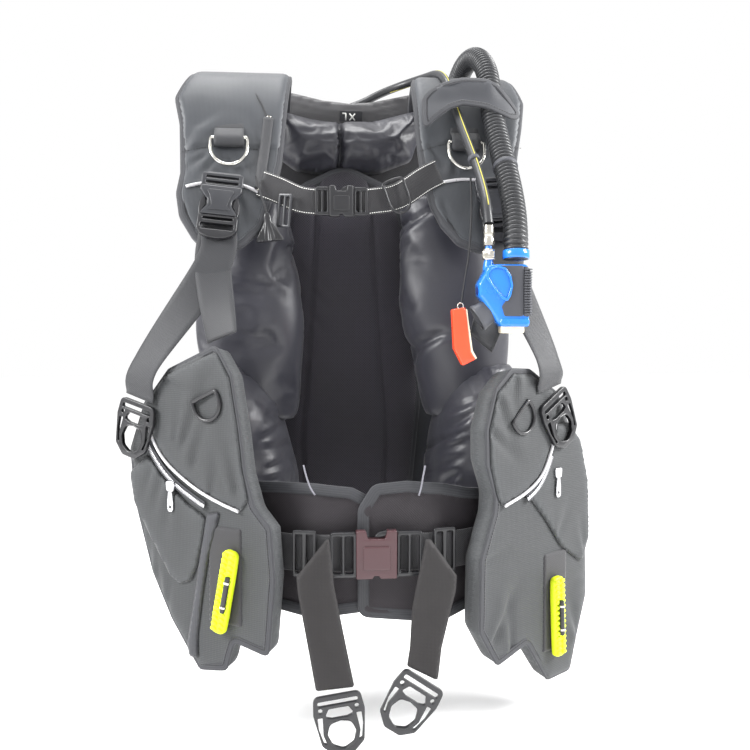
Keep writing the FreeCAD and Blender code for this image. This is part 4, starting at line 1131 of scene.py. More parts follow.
# %% Bending cloth along a line
def bend_line(points_mm):
    """A place function for cloth bent along (y, z) points, its total length and a height-to-v table."""
    line = smooth_path(np.asarray(points_mm, float) * MM, 2 * MM)
    marks = np.concatenate([[0], np.cumsum(np.linalg.norm(np.diff(line, axis=0), axis=1))])
    run = np.gradient(line, axis=0)
    run /= np.linalg.norm(run, axis=1)[:, None]
    out = np.stack([-run[:, 1], run[:, 0]], axis=1)
    if out[len(out) // 2][1] < 0:
        out = -out

    def place(u, v, depth):
        y, z = np.interp(v, marks, line[:, 0]), np.interp(v, marks, line[:, 1])
        lean_y, lean_z = np.interp(v, marks, out[:, 0]), np.interp(v, marks, out[:, 1])
        size = np.hypot(lean_y, lean_z)
        return np.stack([u, y + depth * lean_y / size, z + depth * lean_z / size], axis=1)

    top = int(np.argmax(line[:, 1]))

    def along(z_mm):
        return float(np.interp(-z_mm * MM, -line[top:, 1], marks[top:])) / MM

    return place, marks[-1] / MM, along


PANEL_LINE = [(-104, 395), (-112, 466), (-150, 501), (-205, 507), (-255, 460), (-290, 372), (-322, 300),
              (-353, 210)]
on_shoulder, panel_length, panel_v = bend_line(PANEL_LINE)
print("panel length", round(panel_length), "mm, tip at v", round(panel_v(226)))

# %% [markdown]
# The panel's own shape: 14 mm thick, rolled at the rim, with a raised overlap where the upper cloth is
# sewn over the lower, a valley under the D-ring and slanting folds near the outer edge.

# %% Shoulder panels
PANEL_MIDDLE = -7 * MM


def on_panel(u, v, depth):
    """The panel's place function, measured from the middle of its thickness."""
    return on_shoulder(u, v, depth + PANEL_MIDDLE)


panel_rims = {
    "right": [(-246, 160), (-256, 190), (-275, panel_v(460)), (-267, panel_v(420)), (-264, panel_v(343)),
              (-269, panel_v(313)), (-264, panel_v(280)),
              (-246, panel_v(250)), (-232, panel_v(236)), (-214, panel_v(226)), (-176, panel_v(238)),
              (-150, panel_v(262)), (-139, panel_v(296)), (-130, panel_v(322)),
              (-121, panel_v(361)), (-111, panel_v(462)), (-104, 170), (-106, 70), (-110, 6), (-246, 6),
              (-246, 70)],
    "left": [(230, 160), (238, 190), (248, panel_v(464)), (240, panel_v(420)), (228, panel_v(366)),
             (230, panel_v(318)), (222, panel_v(270)),
             (196, panel_v(236)), (162, panel_v(232)), (132, panel_v(244)), (110, panel_v(270)),
             (96, panel_v(300)), (85, panel_v(350)),
             (81, panel_v(416)), (80, panel_v(490)), (86, 170), (90, 70), (96, 6), (230, 6), (230, 70)],
}
panel_folds = {
    "right": [(-215, 352, -246, 400, 6, 3), (-196, 356, -180, 398, 6, 2.5), (-232, 350, -258, 372, 5, 2),
              (-176, 352, -160, 392, 5, 2),
              (-258, 330, -232, 250, 9, 2.2), (-150, 330, -170, 270, 8, 2),
              (-240, 300, -200, 262, 9, 1.8), (-206, 420, -196, 480, 8, 2.5),
              (-178, 428, -170, 480, 6, 2), (-262, 430, -240, 492, 7, 2.5)],
    "left": [(100, 330, 126, 372, 6, 3), (92, 360, 120, 366, 5, 2), (136, 352, 130, 396, 6, 2.5),
             (176, 410, 168, 470, 7, 3),
             (200, 330, 232, 300, 8, 2.5), (112, 420, 130, 478, 7, 2.5)],
}
panel_seams = {"right": (-262, 338, -215, 329, -140, 334), "left": (84, 330, 140, 315, 236, 322)}
panels = {}
for side, corners in panel_rims.items():
    rim = rounded(corners, 18, 4.5) * MM
    seam = panel_seams[side]

    def panel_front(u, v, d):
        overlap = 1.8 * MM * (v < np.interp(u, np.array(seam[0::2]) * MM,
                                            np.array(seam[1::2]) * MM)) * (v > 150 * MM)
        tight = 1 + 0.35 * np.exp(-((v - 210 * MM) / (40 * MM)) ** 2)
        return 7.5 * MM * crown(d,
                                13 * MM) * tight + (overlap + folded(u, v, panel_folds[side])) * crown(d,
                                    16 * MM)

    def panel_back(u, v, d):
        return -7 * MM * crown(d, 10 * MM)

    panels[side] = piece("shoulder_panel_" + side + "_cloth", "root",
                         outward(shell(rim, panel_front, panel_back, on_panel)),
                         cloths["panel"], ["shoulder_panel_" + side])
    piece("shoulder_tape_" + side, "root", bound_edge(rim, on_panel, 13.0, 12.0, 1.4), cloths["tape"])
print("panels", {side: len(p.data.vertices) for side, p in panels.items()})

# %% [markdown]
# ## Pockets
#
# The pockets hang at 36 degrees to the front and carry the most sewing: a bag with a hemmed opening, an
# upper yoke whose lower edge is a reflective cord, a zip under it, a flap with a stitched border, a
# binding strip beside the weight pouch, and the pouch itself, which pulls out with its yellow handle.
# All of it is drawn in the pocket's own plane: u across, z up, and depth out from the face.

# %% A pocket's own plane
POCKET_PLANES = {"right": ((-232, -405, 0), -36), "left": ((240, -405, 0), 36)}


def pocket_place(side):
    """A place function for patterns on a pocket's face."""
    (x, y, z), turn = POCKET_PLANES[side]
    c, s = math.cos(math.radians(turn)), math.sin(math.radians(turn))

    def place(u, v, depth):
        return np.stack([x * MM + u * c + depth * s, y * MM + u * s - depth * c, v + z * MM], axis=1)
    return place


def on_pocket(side, u, out, z, tilt=0.0):
    """A placement on a pocket's face, as at() gives one."""
    (x, y, _), turn = POCKET_PLANES[side]
    c, s = math.cos(math.radians(turn)), math.sin(math.radians(turn))
    return at(x + u * c + out * s, y + u * s - out * c, z, turn, 0, -tilt)


def laid(side, points):
    """Points (u, z, out) in millimetres on a pocket's face, as millimetres in space."""
    spots = np.asarray(points, float)
    return pocket_place(side)(spots[:, 0] * MM, spots[:, 1] * MM, spots[:, 2] * MM) / MM


# %% Pocket bags
POCKET_SHAPES = {
    "right": {
        "edge": [(26, 98), (52, 60), (66, -13), (74, -70), (88, -112), (114, -138), (120, -205),
                 (110, -308), (54, -297),
                 (48, -312), (40, -338), (-8, -346), (-62, -285), (-100, -225), (-133, -123),
                 (-140, -52), (-112, 16), (-64, 64)],
        "inner": (60, 1), "outer": (-90, -1),
        "folds": [(-27, -31, 26, 79, 11, 5), (-10, -60, 20, 40, 12, 4), (-44, -30, -30, 24, 7, 3),
                  (-62, 58, -20, 30, 8, 4),
                  (60, -60, 30, 20, 10, 3), (64, -100, 44, -30, 8, 4)]
        + seam_folds(31, [(-136, -60), (-128, -120)], -62, 110, 9, 5, 4)
        + seam_folds(32, [(-120, -170), (-70, -280)], 84, 120, 9, 5, 6),
    },
    "left": {
        "edge": [(-98, 40), (-117, -13), (-116, -60), (-98, -105), (-100, -126), (-125, -185),
                 (-127, -283), (-92, -335), (-30, -318), (22, -384),
                 (83, -385), (122, -280), (119, -179), (108, -103), (76, -26), (42, 28), (-29, 64),
                 (-67, 66)],
        "inner": (-60, 1), "outer": (90, -1),
        "folds": [(-110, -20, -40, -70, 9, 4), (-100, 20, -60, -60, 10, 4),
                  (-96, -300, -40, -220, 10, 5), (-60, -318, -70, -220, 9, 4),
                  (96, -330, 60, -250, 12, 5), (-20, 60, 10, 10, 8, 3), (-116, -190, -60, -180, 9, 3)]
        + seam_folds(33, [(118, -130), (118, -260)], 150, 70, 8, 3, 4),
    },
}
pockets = {}
for side, data in POCKET_SHAPES.items():
    rim = rounded(data["edge"], 9, 4.5) * MM
    toward = 1 if side == "right" else -1

    def bag_rim(u):
        """The rim lies near the face at the body side and further back at the outer side."""
        return -2 * MM - 12 * MM * np.clip((20 * MM - toward * u) / (120 * MM), 0, 1)

    def bag_front(u, v, d):
        return bag_rim(u) + (-1 * MM - bag_rim(u) - 5 * MM
                             * np.clip(-toward * u / (130 * MM), 0, 1)) * crown(d, 26 * MM) \
            + folded(u, v, data["folds"]) * crown(d, 22 * MM)

    def bag_back(u, v, d):
        return bag_rim(u) + (-52 * MM - bag_rim(u)) * crown(d, 34 * MM)

    pockets[side] = piece("pocket_" + side + "_bag", "root",
                          outward(shell(rim, bag_front, bag_back, pocket_place(side), 4.2 * MM)),
                          cloths["pack"], ["pocket_" + side])
    flat_place = pocket_place(side)

    def rim_place(u, v, depth):
        return flat_place(u, v, depth + bag_rim(u))

    piece("pocket_" + side + "_tape", "root", bound_edge(rim, rim_place, 3.4, 9.0, 1.2), cloths["tape"])
print("pockets", {side: len(p.data.vertices) for side, p in pockets.items()})

# %% [markdown]
# The overlays are thin cloth laid on the bag: the same shell maker with a small depth and a stitched
# border a few millimetres in from the edge. They lie a millimetre over the bag and follow its face.

# %% Yokes and flaps
def overlay(name, side, corners, lift_mm, thick_mm, radius, finish, folds=(), body="root",
            border=None, instead=()):
    """A patch of cloth on a pocket's face, with an optional raised stitched border."""
    rim = rounded(corners, radius, 4) * MM
    toward = 1 if side == "right" else -1

    def face(u):
        return -5 * MM * np.clip(-toward * u / (130 * MM), 0, 1)

    def front(u, v, d):
        edge_line = 0.0
        if border:
            edge_line = -1.0 * MM * np.exp(-((d - border * MM) / (1.6 * MM)) ** 2)
        return face(u) + lift_mm * MM + thick_mm * MM * crown(d,
            4 * MM) + (edge_line + folded(u, v, folds)) * crown(d, 8 * MM)

    def back(u, v, d):
        return face(u) + lift_mm * MM - 0.8 * MM * crown(d, 4 * MM)
    return piece(name, body, outward(shell(rim, front, back, pocket_place(side), 4 * MM)), finish,
                 instead)


right_piping = [(-94, -18), (-82, -40), (-64, -61), (-37, -80), (-2, -98), (33, -111), (66, -120)]
left_piping = [(26, -12), (23, -30), (17, -51), (-5, -84), (-38, -104), (-84, -118)]
overlay("pocket_yoke_right", "right",
        [(28, 90), (50, 56), (63, -13), (70, -66), (80, -104), (68, -120), (33, -111), (-2, -98), (-37, -80),
        (-64, -61), (-82, -40), (-94, -18), (-104, 14), (-62, 56)], 0.6, 2.2, 6, cloths["pack"],
        [(-27, -31, 26, 79, 11, 5), (-10, -60, 20, 40, 12, 4), (-44, -30, -30, 24, 7, 3),
         (-62, 50, -20, 26, 8, 4), (62, -90, 40, 0, 9, 4),
         (20, -96, 34, -30, 9, 3)], border=7)
overlay("pocket_yoke_left", "left",
        [(-96, 36), (-112, -13), (-110, -60), (-96, -104), (-86, -119), (-38, -104), (-5, -84),
         (17, -51), (23, -30),
        (28, -6), (38, 24), (-29, 58), (-64, 60)], 0.6, 2.2, 6, cloths["pack"],
        [(-106, -20, -40, -70, 9, 4), (-92, 20, -56, -60, 10, 4), (-20, 56, 6, 10, 8, 3),
         (-60, 54, -70, 0, 8, 4)], border=7)
overlay("pocket_flap_right", "right",
        [(-134, -84), (-100, -56), (-88, -66), (-62, -92), (-20, -120), (10, -133), (4, -161),
         (-6, -199), (-18, -224),
        (-40, -232), (-59, -221), (-98, -168), (-126, -126)], 0.8, 3.2, 12, cloths["pack"],
        [(-70, -90, -96, -150, 8, 3), (-90, -76, -112, -130, 7, 3), (-50, -104, -72, -180, 9, 3)], border=6)
overlay("pocket_flap_left", "left",
        [(-40, -106), (-5, -88), (20, -54), (30, -16), (60, -14), (92, -43), (112, -104), (117, -190),
         (98, -226), (44, -192),
        (7, -149), (-24, -118)], 0.8, 3.2, 10, cloths["pack"],
        [(40, -170, 70, -120, 10, 2), (104, -210, 88, -150, 8, 3)], border=6)
overlay("pocket_strip_right", "right",
        [(10, -128), (33, -124), (13, -186), (3, -235), (-8, -300), (-8, -330), (-24, -330), (-28, -313),
         (-12, -236), (-5, -198)],
        0.4, 2.4, 4, cloths["tape"], border=3)
print("overlays laid")

# %% [markdown]
# The reflective edge is a cord wrapped in a film of glass beads. It is a wire swept along the seam of
# the yoke, tapering at its ends where it runs under the binding.

# %% Reflective piping
for side, line in (("right", right_piping), ("left", left_piping)):
    route = laid(side, [(u, z, 3.4 - 5 * max(0, (1 if side == "left" else -1) * u / 130)) for u, z in line])
    piece("pocket_piping_" + side, "root", wire(route, 2.3, 4, sides=12), hard["reflective"])
panel_piping = {"right": [(-256, 321), (-240, 325), (-225, 327), (-205, 328), (-185, 326), (-166, 320),
                          (-149, 311)],
                "left": [(98, 328), (110, 332), (122, 335), (144, 338), (172, 337), (200, 334)]}
for side, line in panel_piping.items():
    spots = np.array([(x, panel_v(z)) for x, z in line]) * MM
    route = on_panel(spots[:, 0], spots[:, 1], np.full(len(spots), 8.4 * MM)) / MM
    piece("shoulder_piping_" + side, "root", wire(route, 2.4, 4, sides=12), hard["reflective"])
print("piping laid")

# %% [markdown]
# ## Weight pouches and their handles
#
# Each pouch is a dark sleeve let into the pocket; it slides out as one body with its handle. The handle
# is a soft rubber grip with nubs in two rows, drawn as a rounded plate, plus a black pin held by two
# metal rings.

# %% Pouches
POUCHES = {"right": (8, 72, -280, -140, (45, -229, -12)), "left": (2, 62, -344, -195, (30, -290, 3))}
for side, (low_u, high_u, low_z, high_z, _) in POUCHES.items():
    corners = [(low_u, low_z), (high_u, low_z), (high_u, high_z), (low_u, high_z)]
    rim = rounded(corners, 7, 4) * MM

    def pouch_front(u, v, d):
        return -23 * MM + 23.6 * MM * crown(d, 6 * MM)

    def pouch_back(u, v, d):
        return -23 * MM - 23 * MM * crown(d, 6 * MM)

    piece("weight_pouch_" + side + "_sleeve", "pouch_" + side,
          outward(shell(rim, pouch_front, pouch_back, pocket_place(side), 4 * MM)),
          cloths["dark webbing"], ["weight_pouch_" + side])
print("pouches made")

# %% [markdown]
# ## Waist
#
# The elastic band is two curved sheets that pass behind the buckle, one over the other. Seen from above
# each is a line, so the same bending idea serves, with the line lying flat and the pattern's v upright.

# %% Waist band
def plan_line(points_mm):
    """A place function for upright cloth that follows (x, y) points seen from above."""
    line = smooth_path(np.asarray(points_mm, float) * MM, 2 * MM)
    marks = np.concatenate([[0], np.cumsum(np.linalg.norm(np.diff(line, axis=0), axis=1))])
    run = np.gradient(line, axis=0)
    run /= np.linalg.norm(run, axis=1)[:, None]
    out = np.stack([run[:, 1], -run[:, 0]], axis=1)
    if out[0][1] > 0:
        out = -out

    def place(u, v, depth):
        x, y = np.interp(u, marks, line[:, 0]), np.interp(u, marks, line[:, 1])
        lean_x, lean_y = np.interp(u, marks, out[:, 0]), np.interp(u, marks, out[:, 1])
        return np.stack([x + depth * lean_x, y + depth * lean_y, v], axis=1)
    return place, marks[-1] / MM


BAND_LOW = -268
bands = {
    "right": ([(30, -441), (-60, -438), (-105, -418), (-190, -358), (-228, -312)],
              lambda long: [(0, BAND_LOW + 14), (0, -150), (26, -112), (60, -93), (110, -88), (160, -89),
                            (long, -96), (long, BAND_LOW + 20), (120, BAND_LOW)]),
    "left": ([(-22, -448), (66, -445), (112, -424), (198, -362), (236, -316)],
             lambda long: [(0, BAND_LOW + 4), (0, -120), (20, -88), (66, -84), (118, -90), (160, -100),
                           (long, -120), (long, BAND_LOW + 30), (120, BAND_LOW - 8)]),
}
for side, (line, corners) in bands.items():
    place, long = plan_line(line)
    rim = rounded(corners(long), 16, 4.5) * MM
    thick = 5 * MM

    def band_front(u, v, d):
        channel = np.abs(d - 17 * MM)
        wave = 1.2 * MM * np.sin(v / (34 * MM) * math.pi + u / (50 * MM))
        return (thick * 0.2 + wave * crown(d, 30 * MM)) * crown(d,
            6 * MM) - 1.2 * MM * np.exp(-(channel / (2.2 * MM)) ** 2)

    def band_back(u, v, d):
        return -thick * crown(d, 6 * MM)

    area = 0.0
    shape = outward(shell(rim, band_front, band_back, place, 4.5 * MM))
    made = piece("waist_band_" + side, "root", shape, cloths["belt"], ["cummerbund_" + side])
    width, height = np.ptp(rim[:, 0]), np.ptp(rim[:, 1])
    area = 0.5 * abs(float(np.dot(rim[:, 0], np.roll(rim[:, 1], -1))
                           - np.dot(rim[:, 1], np.roll(rim[:, 0], -1))))
    piece("waist_band_tape_" + side, "root", bound_edge(rim, place, 6.5, 14.0, 1.4, -1.5),
          cloths["tape"])
    print("band", side, "flat", round(float(width), 3), "by", round(float(height), 3), "area",
          round(area, 4))

# %% [markdown]
# ## Webbing
#
# Straps are modelled directly: a flat section with round selvedges swept through the same stations as
# the hidden model's, on a smooth curve. The two waist tails fold over at the buckle, so their upper
# corners are cut on the slant.

# %% Straps
UP = (0, 0, 1)
ACROSS = (1, 0, 0)
chest = [strap([(-150, -322, 326), (-126, -325, 317), (-98, -331, 304), (-74, -333.5, 300),
                (-48, -333.5, 300)], UP, 38),
         strap([(-26, -333.5, 300), (2, -333.5, 301), (44, -330, 309), (84, -318, 335),
                (108, -312, 348)], UP, 38)]
piece("chest_strap_webbing", "root", joined(chest), cloths["dark webbing"], ["chest_straps"])
belt = [strap([(-28, -452, -177), (-62, -452, -177), (-104, -442, -177), (-150, -412, -177),
               (-188, -384, -177)], UP, 50),
        strap([(30, -452, -177), (66, -452, -177), (110, -441, -177), (160, -408, -177),
               (196, -384, -177)], UP, 50)]
SHOULDER_STRAPS = {"right": (-207, -6), "left": (190, 5)}


def strap_pose(side):
    """The placement of a shoulder buckle: its x axis runs down the strap and -y is its front."""
    x, sway = SHOULDER_STRAPS[side]
    return at(x, -332, 296, 0, -19, 90 - sway)


def strap_point(side, down, behind):
    spot = strap_pose(side) @ Vector((down * MM, behind * MM, 0))
    return tuple(c / MM for c in spot)


def beside(side, u, out, z):
    spot = on_pocket(side, u, out, z).translation
    return tuple(c / MM for c in spot)


LOWER_ENDS = {
    "right": {"ring": (-103.8, 6, 23.5), "edge": (-88, 9, 72), "load": (20, -22, 108)},
    "left": {"ring": (7, 6, 37), "edge": (-3, 9, 80), "load": (-74, -50, 100)},
}
for side, ends in LOWER_ENDS.items():
    turn = math.radians(POCKET_PLANES[side][1])
    slant = (math.cos(turn), math.sin(turn), 0)
    free = strap([strap_point(side, 24, 3), strap_point(side, 92, 3), beside(side, *ends["edge"]),
                  beside(side, *ends["ring"])],
                 [ACROSS, ACROSS, slant, slant], 50)
    load = strap([strap_point(side, 24, 6.2), strap_point(side, 92, 6.2), beside(side, *ends["load"])],
                 [ACROSS, ACROSS, slant], 50)
    piece("lower_strap_" + side + "_webbing", "root", joined([free, load]), cloths["webbing"],
          ["lower_strap_" + side])
tabs = [strap([(x, -271, 426), (x, -275, 418), (x, -279, 409)], ACROSS, 43) for x in (-196, 152)]
tabs += [strap([strap_point(side, -50, 5), strap_point(side, -30, 3), strap_point(side, 4, 4)], ACROSS,
               46) for side in SHOULDER_STRAPS]
piece("shoulder_tab_webbing", "root", joined(tabs), cloths["webbing"], ["webbing_tabs"])
circle_path = [(93.5 * MM * math.cos(a), 93.5 * MM * math.sin(a), 0)
               for a in np.linspace(0, 2 * math.pi, 120, endpoint=False)]
piece("tank_band_webbing", "root",
      outward(sweep(circle_path, flat_section(50 * MM, 3 * MM), UP, closed=True)), cloths["dark webbing"],
      ["tank_band"])
print("straps laid")


# %% Waist tails
def flat_strap(corners, level_mm, radius, thick_mm=2.4):
    """A strap cut to an outline, hanging in an upright plane, with a slight wave down its length."""
    rim = rounded(corners, radius, 3.5) * MM

    def place(u, v, depth):
        wave = 1.6 * MM * np.sin((v - 0.2) * 38)
        return np.stack([u, np.full(len(u), level_mm * MM) - depth + wave, v], axis=1)

    def front(u, v, d):
        return thick_mm * MM * crown(d, 2 * MM)
    return outward(shell(rim, front, lambda u, v, d: 0 * d, place, 4 * MM))


tail_right = flat_strap([(-64, -147), (-106, -199), (-104, -222), (-81, -350), (-31, -346), (-57, -214)],
                        -483.2, 3)
piece("waist_belt_webbing", "root", joined(belt), cloths["dark webbing"], ["waist_belt"])
piece("waist_tail_right_webbing", "root", tail_right, cloths["tail webbing"])
piece("waist_tail_left_webbing", "waist_plug",
      flat_strap([(64, -147), (104, -203), (103, -224), (84, -300), (79, -342), (38, -321), (42, -296),
                  (45, -246),
      (53, -202)], -483.2, 3), cloths["tail webbing"], ["waist_tail_left"])
print("tails hung")

# %% [markdown]
# ## Buckles
#
# A side release buckle has two halves: a hollow body, and a plug whose two sprung arms snap into it. All
# three buckle sizes here share that build; for the waist and chest buckles one maker draws both halves
# as plates with rolled edges.
# x runs along the webbing, z across it, and the plates are as thick as the hidden model's.

# %% Drawing both halves of a buckle
def frame_windows(low, high, half, bar=3.5):
    """The webbing slots of a buckle's end frame, between three bars."""
    window = (high - low - 3 * bar) / 2
    return [box_loop(low + bar, low + bar + window, -half, half, 1.5),
            box_loop(high - bar - window, high - bar, -half, half, 1.5)]


def wide_block(half, tall):
    """The body of the waist and chest buckles: a block with a stepped top notch and a small one below."""
    step, deep = half * 0.42, tall * 0.34
    return [(-half, -tall), (-step * 0.5, -tall), (-step * 0.3, -tall + 4), (step * 0.3, -tall + 4),
            (step * 0.5, -tall), (half, -tall),
            (half, tall), (step * 1.25, tall), (step, tall - deep), (-step, tall - deep),
            (-step * 1.25, tall), (-half, tall)]


def arm(half, tall, side, reach):
    """One sprung arm of a plug, curved outwards and hooked at its end."""
    return [(half + 6, side * (tall - 4)), (half + 2, side * (tall - 1)),
            (half - 8, side * (tall + 0.5)), (half - reach, side * (tall - 3)),
            (half - reach - 6, side * (tall - 9)), (half - reach, side * (tall - 9.5)),
            (half - 9, side * (tall - 6.5)), (half + 2, side * (tall - 8)),
            (half + 6, side * (tall - 10))]


def side_buckle(name, pose, half, tall, thick, frame_socket, frame_plug, block, bodies, nodes, block_finish):
    """Both halves of a wide buckle, standing for their two hidden nodes."""
    frame_loops = [box_loop(-half - frame_socket, -half + 1, -tall + 2, tall - 2,
                            4)] + frame_windows(-half - frame_socket, -half, tall - 7)
    block_shape = plate([loop_of(block, 1.6)], thick, 1.6)
    rib = plate([box_loop(-half * 0.66, half * 0.66, -tall * 0.62, tall * 0.36, 3)], 2.2, 0.8)
    piece(name + "_frame", bodies[0],
          placed(plate(frame_loops, thick * 0.66, 1.4), pose @ at(0, -thick * 0.12, 0)), hard["black"],
                   nodes[:1], crease=50)
    piece(name + "_block", bodies[0],
          joined([placed(block_shape, pose), placed(rib, pose @ at(0, -thick + 0.6, 0))]), block_finish,
          crease=50)
    low, high = half + 0.5, half + frame_plug
    plug_loops = [box_loop(low, high, -tall + 2, tall - 2, 4)] + frame_windows(low, high, tall - 7)
    shapes = [placed(plate(plug_loops, thick * 0.66, 1.4), pose @ at(0, -thick * 0.12, 0))]
    for side in (-1, 1):
        shapes.append(placed(plate([loop_of(arm(half, tall, side, half * 0.9), 1.5)], 4.4, 0.9),
                             pose @ at(0, -thick / 2 + 2.2, 0)))
    shapes.append(placed(plate([box_loop(half - 12, half + 4, -3.4, 3.4, 2)], 4, 0.8),
                         pose @ at(0, -thick / 2 + 2, 0)))
    piece(name + "_plug", bodies[1], joined(shapes), hard["black"], nodes[1:], crease=50)


side_buckle("waist_buckle", at(0, -455.5, -177), 27, 32, 14, 34, 34, wide_block(27, 32),
            ("root", "waist_plug"),
            ["waist_buckle_socket", "waist_buckle_plug"], hard["maroon"])
side_buckle("chest_buckle", at(-37, -335.5, 300), 17, 22, 11, 20, 20.5, wide_block(17, 22),
            ("root", "chest_plug"),
            ["chest_buckle_socket", "chest_buckle_plug"], hard["black"])
print("waist and chest buckles made")

# %% [markdown]
# The shoulder buckles are shaped for the hand: the body narrows to a waist, and the plug's leaf-shaped
# arms fill the hollow on each side of it, where finger and thumb squeeze them.

# %% Shoulder buckles
waisted = [(-22, -29), (-14, -29), (-5, -22), (0, -17.5), (8, -17), (15, -22), (22, -26), (22, 26),
           (15, 22), (8, 17), (0, 17.5), (-5, 22), (-14, 29), (-22, 29)]
top_frame = [(-42, -29), (-21, -29), (-21, 29), (-42, 29)]
leaf = [(25, 20), (24, 27), (14, 28.5), (4, 28), (-5, 25), (-10, 21), (-4, 20), (3, 19.5), (9, 19), (14, 22)]
foot = [(22.5, -27), (30, -28), (44, -28), (51, -23), (56, -12), (57.5, 0), (56, 12), (51, 23), (44, 28),
        (30, 28), (22.5, 27)]
sockets = []
for side in SHOULDER_STRAPS:
    pose = strap_pose(side)
    sockets.append(placed(plate([loop_of(top_frame, 4), box_loop(-37.5, -33.5, -23, 23, 1.5),
                                 box_loop(-29.5, -25, -23, 23, 1.5)], 8, 1.5), pose @ at(0, -2, 0)))
    sockets.append(placed(plate([loop_of(waisted, 3)], 12, 2.2), pose))
    sockets.append(placed(plate([loop_of([(-15, -20), (-6, -15), (9, -11), (16, -17), (16, 17), (9, 11),
                                          (-6, 15), (-15, 20)], 3)], 2, 0.8), pose @ at(0, -11.4, 0)))
    shapes = [placed(plate([loop_of(foot, 4), box_loop(26, 30, -21, 21, 1.5),
                            box_loop(35, 44, -23, 23, 2)], 9, 1.6), pose @ at(0, -1.5, 0))]
    for flip in (1, -1):
        shapes.append(placed(plate([loop_of([(x, z * flip) for x, z in leaf], 1.6)], 7, 1.4),
                             pose @ at(0, -2.5, 0)))
    piece("shoulder_buckle_" + side + "_plug", "shoulder_plug_" + side, joined(shapes), hard["black"],
          ["shoulder_buckle_plug_" + side], crease=50)
piece("shoulder_buckle_bodies", "root", joined(sockets), hard["grey black"],
      ["shoulder_buckle_sockets"], crease=50)
print("shoulder buckles made")

# %% [markdown]
# Plain three-bar slides keep the webbing's length. They are trim, so each is one more plate.

# %% Slides
slide = [box_loop(-16, 16, -31, 31, 4), box_loop(-12, -3, -26, 26, 2), box_loop(3, 12, -26, 26, 2)]
slides = [placed(plate(slide, 4, 1.2), at(-94, -447.5, -177, -15)),
          placed(plate(slide, 4, 1.2), at(93, -447.5, -177, 15))]
piece("waist_slides", "root", joined(slides), hard["black"], crease=50)
small_slide = [box_loop(-11, 11, -24, 24, 3), box_loop(-7.5, -2, -20, 20, 1.5),
               box_loop(2, 7.5, -20, 20, 1.5)]
piece("chest_slide", "root", placed(plate(small_slide, 4, 1.2), at(-116, -332, 287, -34, 0, 6)),
      hard["grey black"], crease=50)
print("slides made")

# %% [markdown]
# ## Rings
#
# The shoulder rings are polished steel wire bent to a D and welded behind the webbing. The pocket rings
# have the same shape in black plastic. The pulls at the strap ends are moulded plates with a bar and
# slot for the webbing, a round finger hole and side windows.

# %% D-rings
def d_path(half, drop, wire_radius):
    """The centre line of a D-ring that hangs from the middle of its straight bar."""
    reach = half - wire_radius
    shoulder = drop * 0.32
    bow = [(reach * math.cos(a), -shoulder - (drop - wire_radius - shoulder) * math.sin(a))
           for a in np.linspace(0, math.pi, 17)]
    loop = [(reach - 5, 0.0), (reach - 1.2, -1.2), (reach, -5.0)] + bow + [(-reach, -5.0),
        (-reach + 1.2, -1.2), (-reach + 5, 0.0)]
    return [(x, -wire_radius, z) for x, z in loop]


def d_ring(half, drop, wire_radius, pose):
    return placed(wire(d_path(half, drop, wire_radius), wire_radius, 1.6, closed=True, sides=12,
                       across=(0, 1, 0)), pose)


for side, x in (("right", -196), ("left", 152)):
    piece("shoulder_ring_" + side, "shoulder_d_" + side, d_ring(29, 46, 2.6, at(x, -288.5, 395, 0, -20)),
          hard["steel"], ["shoulder_d_ring_" + side])
for side, u, z, tilt in (("right", 10, 30, 24), ("left", -54, 8, 42)):
    piece("pocket_ring_" + side, "pocket_d_" + side, d_ring(25, 36, 2.8, on_pocket(side, u, 2, z, tilt)),
          hard["black"], ["pocket_d_ring_" + side])
piece("chest_ring", "root",
      placed(wire([(-13, 0, 22), (13, 0, 22), (15, 0, 10), (14, 0, -14), (6, 0, -24), (-6, 0, -24),
                   (-14, 0, -14), (-15, 0, 10)], 2, 2,
      closed=True, across=(0, 1, 0)), at(44, -336, 310, 0, 0, -20)), hard["black"])
print("rings bent")


# %% Webbing pulls
def pull(pose):
    outer = [(-31, 4), (31, 4), (34, -20), (28, -62), (12, -76), (-12, -76), (-28, -62), (-34, -20)]
    finger = [(0, -31), (14, -34), (19, -48), (14, -62), (0, -69), (-14, -62), (-19, -48), (-14, -34)]
    window = [(29, -24), (22, -24), (24.5, -48), (21, -60), (25, -58), (29, -40)]
    loops = [loop_of(outer, 9), box_loop(-26.5, 26.5, -9, -3, 2.5), ring_loop(-24, -15, 3, 14),
             ring_loop(24, -15, 3, 14),
             loop_of([(-19, -24), (-13, -14), (13, -14), (19, -24), (10, -27), (-10, -27)], 3),
             loop_of(finger, 9),
             loop_of(window, 1.5), loop_of([(-x, z) for x, z in window], 1.5)]
    ring = plate([loop_of([(0, -28.5), (15.5, -32), (21.5, -48), (15.5, -64), (0, -71.5), (-15.5, -64),
                           (-21.5, -48), (-15.5, -32)], 10), loop_of(finger, 9)], 7.2, 1.2)
    return joined([placed(plate(loops, 6, 1.1), pose), placed(ring, pose @ at(0, 0.6, 0))])


for side, u, z, tilt in (("right", -106, 14, -14), ("left", 14, 22, 29)):
    piece("strap_pull_" + side + "_ring", "strap_pull_" + side, pull(on_pocket(side, u, 3, z, tilt)),
          hard["black"], ["strap_ring_" + side], crease=50)
for side, x, z, tilt in (("right", -54, -358, 8), ("left", 60, -343, -34)):
    piece("waist_pull_" + side + "_ring", "waist_pull_" + side, pull(at(x, -482, z, 0, 0, -tilt)),
          hard["black"], ["waist_ring_" + side], crease=50)
print("pulls made")

# %% [markdown]
# ## Handles of the weight pouches
#
# A moulded rubber grip with two columns of soft nubs, and a black pin clipped along it by two metal
# rings. The nubs come from the repeating tree.

